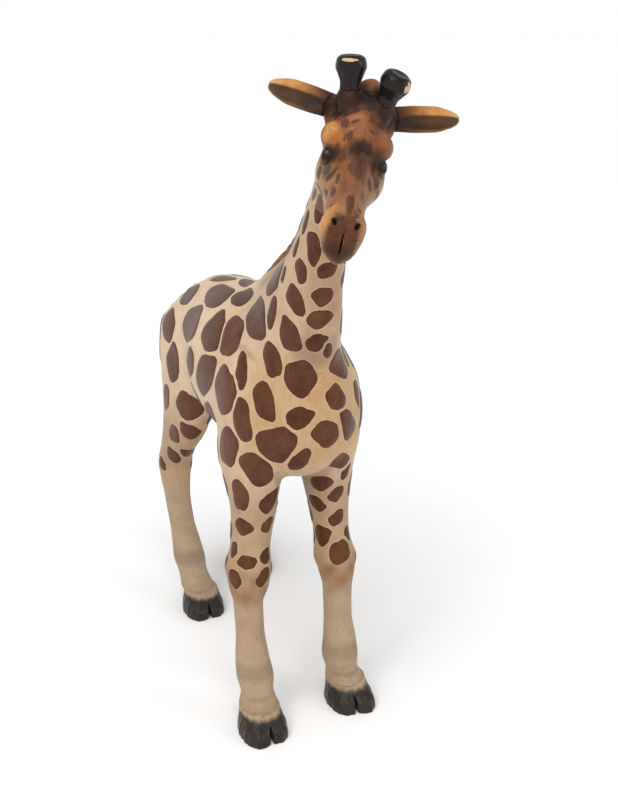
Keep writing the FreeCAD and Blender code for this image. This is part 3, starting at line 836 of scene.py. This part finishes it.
def build_piece(name, points, faces, planes, nodes, material, attributes):
    """Cut a closed mesh at its joint faces, cap it, paint it and hand it to the frame."""
    mesh = bpy.data.meshes.new(name)
    mesh.from_pydata(points.tolist(), [], faces.tolist())
    cut = bmesh.new()
    cut.from_mesh(mesh)
    for face in cut.faces:
        face.smooth = True
    for place, direction in planes:
        geometry = cut.verts[:] + cut.edges[:] + cut.faces[:]
        bmesh.ops.bisect_plane(
            cut, geom=geometry, dist=0.12, plane_co=place, plane_no=direction, clear_outer=True
        )
        rim = [edge for edge in cut.edges if edge.is_boundary]
        if rim:
            capped = bmesh.ops.holes_fill(cut, edges=rim, sides=0)["faces"]
            for face in capped:
                face.smooth = False
                for edge in face.edges:
                    edge.smooth = False
    bmesh.ops.recalc_face_normals(cut, faces=cut.faces[:])
    if cut.calc_volume(signed=True) < 0:
        bmesh.ops.reverse_faces(cut, faces=cut.faces[:])
    cut.to_mesh(mesh)
    cut.free()
    count = len(mesh.vertices)
    places = np.empty(count * 3)
    mesh.vertices.foreach_get("co", places)
    places = places.reshape(-1, 3)
    layers = attributes(places)
    if "lift" in layers:
        clear = np.min([np.abs((places - place) @ direction) for place, direction in planes], 0)
        places = places + layers.pop("lift") * ramp(clear, 0.3, 4.0)[:, None]
    for title, values in layers.items():
        if values.ndim == 1:
            layer = mesh.attributes.new(title, "FLOAT", "POINT")
            layer.data.foreach_set("value", values.astype(np.float32))
        else:
            layer = mesh.attributes.new(title, "FLOAT_COLOR", "POINT")
            rgba = np.hstack([np.clip(values, 0, 1), np.ones((count, 1))])
            layer.data.foreach_set("color", rgba.ravel().astype(np.float32))
    mesh.vertices.foreach_set("co", (places / 1000 + SHIFT).ravel())
    mesh.materials.append(material)
    mesh.update()
    piece = bpy.data.objects.new(name, mesh)
    bpy.context.scene.collection.objects.link(piece)
    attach(piece, "root")
    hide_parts(*nodes)
    return piece


def carve_piece(name, field, box, step, planes, nodes, material, attributes):
    low, high = box
    points, faces = surface_nets(field, low, high, step)
    points = settle(field, points)
    return build_piece(name, points, faces, planes, nodes, material, attributes)


# ---- materials ----
class Material:
    """A Principled material with short calls for the nodes that feed it."""

    def __init__(self, name, **sockets):
        self.material = bpy.data.materials.new(name)
        self.material.use_nodes = True
        self.tree = self.material.node_tree
        self.shader = self.tree.nodes["Principled BSDF"]
        self.coordinates = self.tree.nodes.new("ShaderNodeTexCoord").outputs["Object"]
        for title, value in sockets.items():
            self.shader.inputs[title.replace("_", " ")].default_value = value

    def set(self, socket, value):
        if isinstance(value, bpy.types.NodeSocket):
            self.tree.links.new(value, socket)
        elif isinstance(value, tuple):
            socket.default_value = (*value, 1.0)
        else:
            socket.default_value = value

    def to_shader(self, title, value):
        self.set(self.shader.inputs[title], value)

    def attribute(self, title, colour=False):
        node = self.tree.nodes.new("ShaderNodeAttribute")
        node.attribute_name = title
        return node.outputs["Color" if colour else "Fac"]

    def maths(self, operation, first, second=0.5, third=0.5):
        node = self.tree.nodes.new("ShaderNodeMath")
        node.operation = operation
        for socket, value in zip(node.inputs, (first, second, third)):
            self.set(socket, value)
        return node.outputs[0]

    def ramp(self, value, start, end, low=0.0, high=1.0):
        node = self.tree.nodes.new("ShaderNodeMapRange")
        node.interpolation_type = "SMOOTHSTEP"
        for title, amount in zip(
            ("Value", "From Min", "From Max", "To Min", "To Max"), (value, start, end, low, high)
        ):
            self.set(node.inputs[title], amount)
        return node.outputs[0]

    def blend(self, share, first, second, kind="MIX"):
        node = self.tree.nodes.new("ShaderNodeMix")
        node.data_type = "RGBA"
        node.blend_type = kind
        for index, value in ((0, share), (6, first), (7, second)):
            self.set(node.inputs[index], value)
        return node.outputs[2]

    def stretched(self, scales):
        node = self.tree.nodes.new("ShaderNodeMapping")
        self.set(node.inputs["Vector"], self.coordinates)
        node.inputs["Scale"].default_value = scales
        return node.outputs[0]

    def noise(self, per_metre, detail=3.0, roughness=0.55, where=None):
        node = self.tree.nodes.new("ShaderNodeTexNoise")
        self.set(node.inputs["Vector"], where or self.coordinates)
        node.inputs["Scale"].default_value = per_metre
        node.inputs["Detail"].default_value = detail
        node.inputs["Roughness"].default_value = roughness
        return node.outputs["Fac"]

    def cells(self, per_metre):
        node = self.tree.nodes.new("ShaderNodeTexVoronoi")
        self.set(node.inputs["Vector"], self.coordinates)
        node.inputs["Scale"].default_value = per_metre
        return node.outputs["Distance"]

    def relief(self, height, distance, strength=1.0, under=None):
        node = self.tree.nodes.new("ShaderNodeBump")
        node.inputs["Strength"].default_value = strength
        node.inputs["Distance"].default_value = distance
        self.set(node.inputs["Height"], height)
        if under:
            self.set(node.inputs["Normal"], under)
        return node.outputs[0]


def hide_material():
    """Cream hide with inlaid-looking brown patches, fine grain, pinholes and a thin varnish."""
    m = Material("painted_hide", Coat_Weight=0.05, Coat_Roughness=0.12, Specular_IOR_Level=0.12)
    wobble = m.maths("MULTIPLY_ADD", m.noise(170, 3), 2.4, -1.2)
    edge = m.maths("ADD", m.attribute("spot"), wobble)
    inside = m.ramp(edge, 0.18, -0.18)
    grain = m.noise(900, 4, 0.7)
    mottle = m.noise(45, 4, 0.6)
    ground = m.attribute("paint", True)
    strokes = m.noise(260, 3, 0.6, m.stretched((1.0, 1.0, 0.22)))
    for pattern, start, share, tint in (
        (mottle, 0.40, 0.32, (0.66, 0.58, 0.46)),
        (grain, 0.48, 0.50, (0.60, 0.52, 0.44)),
        (strokes, 0.54, 0.30, (0.66, 0.58, 0.50)),
    ):
        ground = m.blend(m.ramp(pattern, start, 0.70, 0.0, share), ground, tint, "MULTIPLY")
    pits = m.ramp(m.cells(150), 0.10, 0.06)
    rare = m.ramp(m.noise(60, 1), 0.60, 0.66)
    pinholes = m.maths("MULTIPLY", pits, rare)
    ground = m.blend(m.maths("MULTIPLY", pinholes, 0.7), ground, (0.16, 0.08, 0.04))
    rim = m.maths("MULTIPLY", m.ramp(edge, 2.6, 0.3), m.ramp(edge, 0.0, 0.3))
    ground = m.blend(m.maths("MULTIPLY", rim, 0.18), ground, (0.70, 0.54, 0.36))
    tone = m.attribute("tone")
    brown = m.blend(tone, (0.082, 0.026, 0.0085), (0.125, 0.043, 0.0175))
    brown = m.blend(m.ramp(m.noise(70, 4, 0.6), 0.35, 0.70, 0.0, 0.55), brown, (0.040, 0.013, 0.005))
    brown = m.blend(m.ramp(strokes, 0.50, 0.75, 0.0, 0.30), brown, (0.165, 0.064, 0.030))
    line = m.ramp(edge, -1.5, -0.2)
    brown = m.blend(m.maths("MULTIPLY", line, 0.60), brown, (0.030, 0.012, 0.007))
    brown = m.blend(m.maths("MULTIPLY", pinholes, 0.5), brown, (0.02, 0.01, 0.006))
    m.to_shader("Base Color", m.blend(inside, ground, brown))
    rough = m.maths("MULTIPLY_ADD", grain, 0.16, m.ramp(edge, 0.2, -0.2, 0.46, 0.32))
    m.to_shader("Roughness", rough)
    groove = m.maths("MULTIPLY", m.ramp(edge, 1.2, 0.0), m.ramp(edge, -1.2, 0.0))
    height = m.maths("MULTIPLY_ADD", groove, -0.9, m.maths("MULTIPLY", grain, 0.25))
    height = m.maths("MULTIPLY_ADD", mottle, 0.8, height)
    height = m.maths("MULTIPLY_ADD", strokes, 0.3, height)
    height = m.maths("MULTIPLY_ADD", pinholes, -0.8, height)
    m.to_shader("Normal", m.relief(height, 0.0009, 0.55))
    return m.material


def shaded_material(name, coat, rough_low, rough_high, fleck, fleck_share, per_metre, depth):
    """Airbrushed paint held in the mesh, with brush streaks, fine flecks, pale wear and, on the horns,
    painted highlights.
    """
    m = Material(name, Coat_Weight=coat, Coat_Roughness=0.12, Specular_IOR_Level=0.12)
    fine = m.noise(per_metre, 4, 0.65)
    broad = m.noise(per_metre * 0.14, 4, 0.6)
    colour = m.attribute("paint", True)
    colour = m.blend(m.ramp(broad, 0.42, 0.70, 0.0, 0.45), colour, fleck, "MULTIPLY")
    colour = m.blend(m.ramp(fine, 0.50, 0.70, 0.0, fleck_share), colour, fleck, "MULTIPLY")
    edge = m.maths("MULTIPLY_ADD", m.noise(420, 3), 1.6, -0.8)
    edge = m.maths("ADD", m.attribute("spot"), edge)
    inside = m.ramp(edge, 0.45, -0.45)
    colour = m.blend(m.maths("MULTIPLY", inside, 0.82), colour, (0.082, 0.033, 0.019))
    chips = m.maths("MULTIPLY_ADD", m.noise(330, 4, 0.7), 1.2, -0.6)
    worn = m.ramp(m.maths("ADD", m.attribute("worn"), chips), 0.45, 0.60)
    colour = m.blend(worn, colour, (0.56, 0.38, 0.25))
    m.to_shader("Base Color", colour)
    m.to_shader("Roughness", m.ramp(broad, 0.3, 0.7, rough_low, rough_high))
    height = m.maths("MULTIPLY_ADD", fine, 0.5, m.maths("MULTIPLY", broad, 0.9))
    height = m.maths("MULTIPLY_ADD", worn, -0.5, height)
    m.to_shader("Normal", m.relief(height, depth, 0.6))
    return m.material


def wood_material():
    """Bare dowel wood with growth rings and long fibres."""
    m = Material("dowel_wood")
    fibres = m.noise(500, 4, 0.6, m.stretched((1.0, 1.0, 0.08)))
    rings = m.noise(160, 2, 0.5, m.stretched((1.0, 1.0, 0.2)))
    colour = m.blend(m.ramp(rings, 0.35, 0.65), (0.56, 0.37, 0.20), (0.68, 0.50, 0.31))
    colour = m.blend(m.ramp(fibres, 0.5, 0.75, 0.0, 0.4), colour, (0.36, 0.21, 0.10))
    m.to_shader("Base Color", colour)
    m.to_shader("Roughness", m.ramp(fibres, 0.3, 0.7, 0.55, 0.75))
    m.to_shader("Normal", m.relief(fibres, 0.0004, 0.5))
    return m.material


def eye_material():
    """A dark polished bead with a brown iris round the pupil."""
    m = Material("eye_glass", Coat_Weight=0.35, Coat_Roughness=0.05, Specular_IOR_Level=0.3)
    streaks = m.noise(900, 3, 0.6)
    paint = m.attribute("paint", True)
    colour = m.blend(m.ramp(streaks, 0.3, 0.7, 0.0, 0.5), paint, (0.01, 0.006, 0.004))
    m.to_shader("Base Color", colour)
    m.to_shader("Roughness", m.ramp(streaks, 0.3, 0.7, 0.08, 0.16))
    m.to_shader("Normal", m.relief(streaks, 0.0001, 0.3))
    return m.material


hide = hide_material()
face_finish = shaded_material("head_paint", 0.07, 0.28, 0.44, (0.52, 0.42, 0.34), 0.70, 480, 0.0018)
ear_finish = shaded_material("ear_paint", 0.08, 0.34, 0.52, (0.50, 0.40, 0.32), 0.65, 520, 0.0009)
horn_finish = shaded_material("horn_dark", 0.18, 0.22, 0.38, (0.45, 0.40, 0.38), 0.60, 420, 0.0010)
hoof_finish = shaded_material("hoof_black", 0.12, 0.28, 0.50, (0.42, 0.40, 0.38), 0.80, 300, 0.0020)
mane_finish = shaded_material("mane_brown", 0.06, 0.38, 0.58, (0.42, 0.38, 0.36), 0.60, 460, 0.0016)
wood = wood_material()
eye_finish = eye_material()

# ---- torso, neck, legs and head ----
markings = body_markings()
face_marks = face_markings()
neck_plane = leaning_plane(NECK_JOINT)
head_plane = leaning_plane(HEAD_JOINT)


def hide_attributes(field):
    def attributes(points):
        normals = normals_of(field, points)
        cups = hollowness(field, points, 4.0)
        spot, tone = markings.nearest(points, PATCH_GAP)
        return {
            "lift": normals * (0.7 * ramp(-spot, -0.4, 5.0))[:, None],
            "spot": np.clip(spot, -NO_PATCH, NO_PATCH),
            "tone": tone,
            "paint": hide_paint(points, cups),
        }
    return attributes


def head_attributes(points):
    cups = hollowness(whole_field, points, 2.5)
    spot, tone = face_marks.nearest(points)
    neck_spot, _ = markings.nearest(points, PATCH_GAP)
    local = head.inward(points)
    skull = head_field(points)
    below = skull > 1.5
    spot = np.where(below, neck_spot, spot)
    colour = face_paint(points, cups)
    nape = hide_paint(points, cups * 0)
    share = ramp(skull, 0.5, 3.0)[:, None]
    colour = colour * (1 - share) + nape * share
    return {
        "spot": np.clip(spot, -NO_PATCH, NO_PATCH),
        "tone": tone,
        "worn": np.maximum(
            0.36 * dab(local, (-9, 18, 92), (6, 7, 9)), 0.46 * dab(local, (1, 13, 108), (2.2, 8, 9))
        ),
        "paint": colour,
    }


body_paint = hide_attributes(body_field)


def leg_field(name):
    """The body near one leg, without the trunk's underside or the other legs."""
    form = leg_forms[name]

    def field(points):
        return np.maximum(body_field(points), form(points) - 12)
    return field


carve_piece(
    "torso_carving", body_field, ((-96, -192, 288), (96, 303, 520)), 2.2,
    [level(LEG_JOINT, -1), neck_plane], ["torso"], hide, body_paint,
)
carve_piece(
    "neck_carving", whole_field, ((-60, -268, 396), (60, 22, 700)), 1.8,
    [flip(neck_plane), head_plane], ["neck"], hide, hide_attributes(whole_field),
)
LEG_BOXES = {
    "front_right": ((-116, -190, 20), (-1, 10, 304)),
    "front_left": ((1, -190, 20), (116, 10, 304)),
    "rear_right": ((-116, 110, 20), (-1, 320, 304)),
    "rear_left": ((1, 110, 20), (116, 330, 304)),
}
for name, box in LEG_BOXES.items():
    carve_piece(
        "carved_leg_" + name, leg_field(name), box, 1.9,
        [level(LEG_JOINT, 1), level(SOLE_TOP, -1)], ["leg_" + name], hide,
        body_paint,
    )
carve_piece(
    "head_carving", whole_field, ((-66, -352, 574), (62, -184, 762)), 1.2,
    [flip(head_plane)], ["head"], face_finish, head_attributes,
)

# ---- hooves ----
hoof_form = Loft(HOOF, 2)


def hoof_field(place, outer):
    """Two toes split by a narrow cleft, ridged round the wall and flat below."""
    def field(points):
        local = points - np.array([*place, 0.0])
        shape = hoof_form(local)
        toes = np.minimum(
            egg(local, (-12 * outer, -9, 2), (16.5, 30, 22)),
            egg(local, (13 * outer, -7, 2), (14, 28, 21)),
        )
        shape = join(shape, toes, 5)
        shape = carve(shape, egg(local, (2 * outer, -38, 1), (1.5, 23, 22)), 2.0)
        angle = np.arctan2(local[:, 1], local[:, 0])
        ridges = 0.30 * np.sin(23 * angle) + 0.35 * np.sin(11 * angle + 0.09 * local[:, 2])
        return np.maximum(shape + ridges * ramp(-local[:, 2], -24, -14), -local[:, 2])
    return field


def hoof_attributes(place):
    """Black horn under a ragged fringe of leg hair that dips over the front."""
    def attributes(points):
        local = points - np.array([*place, 0.0])
        angle = np.arctan2(local[:, 1], local[:, 0])
        fringe = 24.5 + 0.4 * np.sin(13 * angle) + 0.25 * np.sin(29 * angle + 1) + 0.8 * np.sin(angle)
        colour = flat(points, HOOF_BLACK)
        colour = mix(colour, UMBER, 0.8 * ramp(local[:, 2] - fringe, -2.5, -0.5))
        colour = mix(colour, STONE, ramp(local[:, 2] - fringe, -1.2, 3.0))
        worn = 0.30 * ramp(-local[:, 2], -4, -1)
        return unspotted(colour, worn)
    return attributes


for name, (x, y) in HOOF_PLACES.items():
    side = 1 if x > 0 else -1
    carve_piece(
        "cloven_hoof_" + name, hoof_field((x, y), -side), ((x - 40, y - 50, -6), (x + 40, y + 46, 36)),
        1.4, [level(0.0, -1), level(SOLE_TOP, 1)], ["hoof_" + name], hoof_finish,
        hoof_attributes((x, y)),
    )

# ---- ears ----
EAR = [
    (-0.14, 11, 7), (0.0, 11.5, 7), (0.15, 11.8, 6.5), (0.40, 12.6, 6), (0.65, 12.3, 5.5),
    (0.85, 9, 4.5), (0.96, 5.5, 3.2), (1.0, 2.5, 2),
]


def box_along(axes, first, last):
    """A box round a piece that lies along the third of its axes."""
    ends = axes.outward(np.array([[0, 0, first], [0, 0, last]]))
    return ends.min(0) - 20, ends.max(0) + 20


def ear_frame(side):
    """Ear axes in the head frame: thickness forward, height up the ear, length to the tip."""
    root, tip = (np.array(point, float) for point in EARS[side])
    length = unit(tip - root)
    front = unit(np.array([0, 1.0, 0.35]) - length * (length @ np.array([0, 1.0, 0.35])))
    rise = np.cross(length, front)
    if rise[2] > 0:
        rise = -rise
    return Frame(root, np.array([front, rise, length]), head), np.linalg.norm(tip - root)


def ear_piece(side):
    axes, reach = ear_frame(side)
    blade = Loft([(share * reach, 0, 0, thick, high) for share, high, thick in EAR], 2)
    bowl = [
        (share * reach, thick * 1.05, -high * 0.40, thick * (0.45 + 0.5 * share), high * 0.62)
        for share, high, thick in EAR[3:-1]
    ]
    start = (0.08 * reach, 6.5, -4.0, 1.0, 1.5)
    swell = (0.22 * reach, 6.6, -4.0, 2.6, 5.0)
    end = (0.985 * reach, 2.2, -0.5, 0.6, 0.8)
    hollow = Loft([start, swell, *bowl, end], 2)

    def field(points):
        local = axes.inward(points)
        shape = carve(blade(local), hollow(local), 2.0)
        return carve(shape, head_field(points), 0.4)

    def attributes(points):
        local = axes.inward(points)
        depth = hollow(local)
        colour = flat(points, ORANGE)
        colour = mix(colour, AMBER, 0.8 * ramp(local[:, 2], 10, reach * 0.6))
        colour = mix(colour, RUST, 0.95 * ramp(-local[:, 2], -46, -10))
        colour = mix(colour, SEAL, 0.85 * ramp(-local[:, 2], -16, -2))
        colour = mix(colour, EAR_TIP, 0.6 * ramp(local[:, 2], reach * 0.75, reach))
        colour = mix(colour, SEAL, 0.6 * ramp(-local[:, 1], 2, 9))
        # Painted shade: near black in the ear's hollow, darker deep inside towards the root.
        colour = mix(colour, EAR_HOLLOW_SHADE, 0.97 * ramp(-depth, -1.2, 0.3))
        colour = mix(colour, SEAL, 0.7 * ramp(-depth, 0.3, 2.5) * ramp(-local[:, 2], -34, 5))
        worn = 0.55 * ramp(local[:, 2], reach * 0.85, reach) * ramp(local[:, 1], 0, 5)
        return unspotted(colour, worn)

    carve_piece(
        "carved_ear_" + side, field, box_along(axes, -14.0, reach + 6.0), 1.0, [],
        ["ear_" + side], ear_finish, attributes,
    )


# ---- horns ----
def horn_piece(side):
    root, tip = (np.array(point, float) for point in HORNS[side])
    length = unit(tip - root)
    front = unit(np.array([0, 0, 1.0]) - length * length[2])
    axes = Frame(root, np.array([np.cross(front, length), front, length]), head)
    stalk = Loft([(distance, 0, 0, radius, radius) for distance, radius in HORN_PROFILE], 2)
    share, place, halves = HORN_WEAR_AND_HIGHLIGHT[side]

    def field(points):
        local = axes.inward(points)
        shape = stalk(local)
        shape = carve(shape, egg(local, (0, -1, 49), (9, 9, 5)), 5)
        return carve(shape, head_field(points), 0.4)

    def attributes(points):
        local = axes.inward(points)
        colour = flat(points, HORN_BLACK)
        colour = mix(colour, RUST, 0.45 * ramp(-local[:, 2], -24, 0))
        # Pale patches on the knob tops: paint wear and painted highlights.
        worn = share * dab(local, place, halves)
        return unspotted(colour, worn)

    carve_piece(
        "carved_horn_" + side, field, box_along(axes, -10.0, 46.0), 1.0, [],
        ["ossicone_" + side], horn_finish, attributes,
    )


# ---- eyes, mane and tail ----
def eye_piece(side):
    centre = head.outward(np.array(EYES[side], float))
    outward = head.outward(np.array(EYES[side], float) * np.array([2, 1, 1])) - centre
    outward = unit(outward)

    def field(points):
        return np.linalg.norm(points - centre, axis=1) - EYE_RADIUS

    def attributes(points):
        facing = (points - centre) @ outward / EYE_RADIUS
        colour = flat(points, PUPIL)
        colour = mix(colour, IRIS, ramp(facing, 0.62, 0.72) * ramp(-facing, -0.95, -0.9))
        return {"paint": colour}

    carve_piece(
        "eye_bead_" + side, field, (centre - 9, centre + 9), 0.8, [], ["eye_" + side],
        eye_finish, attributes,
    )


def mane_comb(points):
    _, y, z = points.T
    return np.sin((z * 0.9 - y * 0.45) * 1.3 + 0.9 * np.sin(z * 0.11))


def mane_field(points):
    """A cropped ridge of hair, scalloped along its crest and combed back at the sides."""
    x, y, z = points.T
    shape = mane_form(points) + 0.38 * mane_comb(points)
    shape = shape + 0.35 * np.sin((z * 0.5 - y) * 0.75 + x * 0.4)
    return carve(shape, whole_field(points) + 0.3, 0.5)


def mane_attributes(points):
    comb = mane_comb(points)
    colour = flat(points, HAIR)
    colour = mix(colour, SEAL, 0.6 * ramp(comb, 0.2, 0.9))
    colour = mix(colour, HAIR_LIGHT, 0.35 * ramp(-comb, 0.3, 1.0))
    return unspotted(colour, np.zeros(len(points)))


def tail_field(points):
    """A thin tail against the rump with a twisted tuft of hair."""
    x, y, z = points.T
    shape = tail_form(points)
    middle_x, middle_y, _, _ = tail_form.sections(z)
    angle = np.arctan2(y - middle_y, x - middle_x)
    tuft = ramp(-z, -246, -232)
    shape = shape + tuft * 0.7 * np.sin(7 * angle + z * 0.11) + tuft * 0.4 * np.sin(4 * angle - z * 0.07)
    return carve(shape, body_field(points) + 0.3, 0.5)


def tail_attributes(points):
    z = points[:, 2]
    colour = flat(points, CREAM)
    colour = mix(colour, HAIR, ramp(-z, -300, -250))
    colour = mix(colour, SEAL, 0.8 * ramp(-z, -245, -215))
    return unspotted(colour, np.zeros(len(points)))


for side in ("left", "right"):
    ear_piece(side)
    horn_piece(side)
    eye_piece(side)
carve_piece(
    "mane_ridge", mane_field, ((-10, -236, 478), (10, 30, 698)), 1.0, [], ["mane"],
    mane_finish, mane_attributes,
)
carve_piece(
    "tail_and_tuft", tail_field, ((-14, 266, 152), (14, 318, 412)), 1.0, [], ["tail"],
    mane_finish, tail_attributes,
)
INNER_WOOD = (
    "neck_dowel", "head_dowel", "leg_dowels", "hoof_pins", "ear_pegs", "ossicone_pegs", "tail_peg",
)
for node in INNER_WOOD:
    body = frame["nodes"][node]
    body.data.materials.clear()
    body.data.materials.append(wood)

# ---- floor, light and camera ----
floor_mesh = bpy.data.meshes.new("floor")
floor_mesh.from_pydata([(-60, -60, 0), (60, -60, 0), (60, 60, 0), (-60, 60, 0)], [], [(0, 1, 2, 3)])
floor_material = Material("pale_floor", Roughness=0.75)
floor_material.to_shader("Base Color", (0.96, 0.96, 0.96))
floor_mesh.materials.append(floor_material.material)
floor = bpy.data.objects.new("floor", floor_mesh)
bpy.context.scene.collection.objects.link(floor)

world = bpy.data.worlds.new("studio")
world.use_nodes = True
sky = world.node_tree.nodes
heading = sky.new("ShaderNodeSeparateXYZ")
dome = sky.new("ShaderNodeMapRange")
dome.interpolation_type = "SMOOTHSTEP"
for title, amount in (("From Min", 0.10), ("From Max", 0.55), ("To Min", 1.0), ("To Max", 0.55)):
    dome.inputs[title].default_value = amount
world.node_tree.links.new(sky.new("ShaderNodeTexCoord").outputs["Generated"], heading.inputs[0])
world.node_tree.links.new(heading.outputs["Z"], dome.inputs["Value"])
world.node_tree.links.new(dome.outputs[0], sky["Background"].inputs["Strength"])
sky["Background"].inputs["Color"].default_value = (1.0, 1.0, 1.0, 1.0)
bpy.context.scene.world = world


def lamp(name, kind, place, target, power, size, spread=None):
    data = bpy.data.lights.new(name, kind)
    data.energy = power
    if kind == "SUN":
        data.angle = math.radians(size)
    else:
        data.shape = "DISK"
        data.size = size
    light = bpy.data.objects.new(name, data)
    light.location = place
    light.rotation_euler = (Vector(target) - Vector(place)).to_track_quat("-Z", "Y").to_euler()
    bpy.context.scene.collection.objects.link(light)


lamp("soft_key", "SUN", (-0.9, -1.1, 2.2), (0, 0, 0), 1.75, 60)
lamp("left_panel", "AREA", (-1.6, -1.3, 1.7), (0, 0, 0.45), 4, 0.4)
lamp("right_panel", "AREA", (1.7, -1.5, 1.3), (0, 0, 0.5), 6, 0.7)

CAMERA_PLACE = (-0.4153, -1.2182, 0.794)
CAMERA_PITCH = 71.25
CAMERA_TURN = -20.5
camera_data = bpy.data.cameras.new("camera")
camera_data.lens = 50
camera_data.clip_end = 60
camera = bpy.data.objects.new("camera", camera_data)
camera.location = CAMERA_PLACE
camera.rotation_euler = (math.radians(CAMERA_PITCH), 0, math.radians(CAMERA_TURN))
bpy.context.scene.collection.objects.link(camera)
bpy.context.scene.camera = camera
bpy.context.scene.view_settings.view_transform = "Standard"
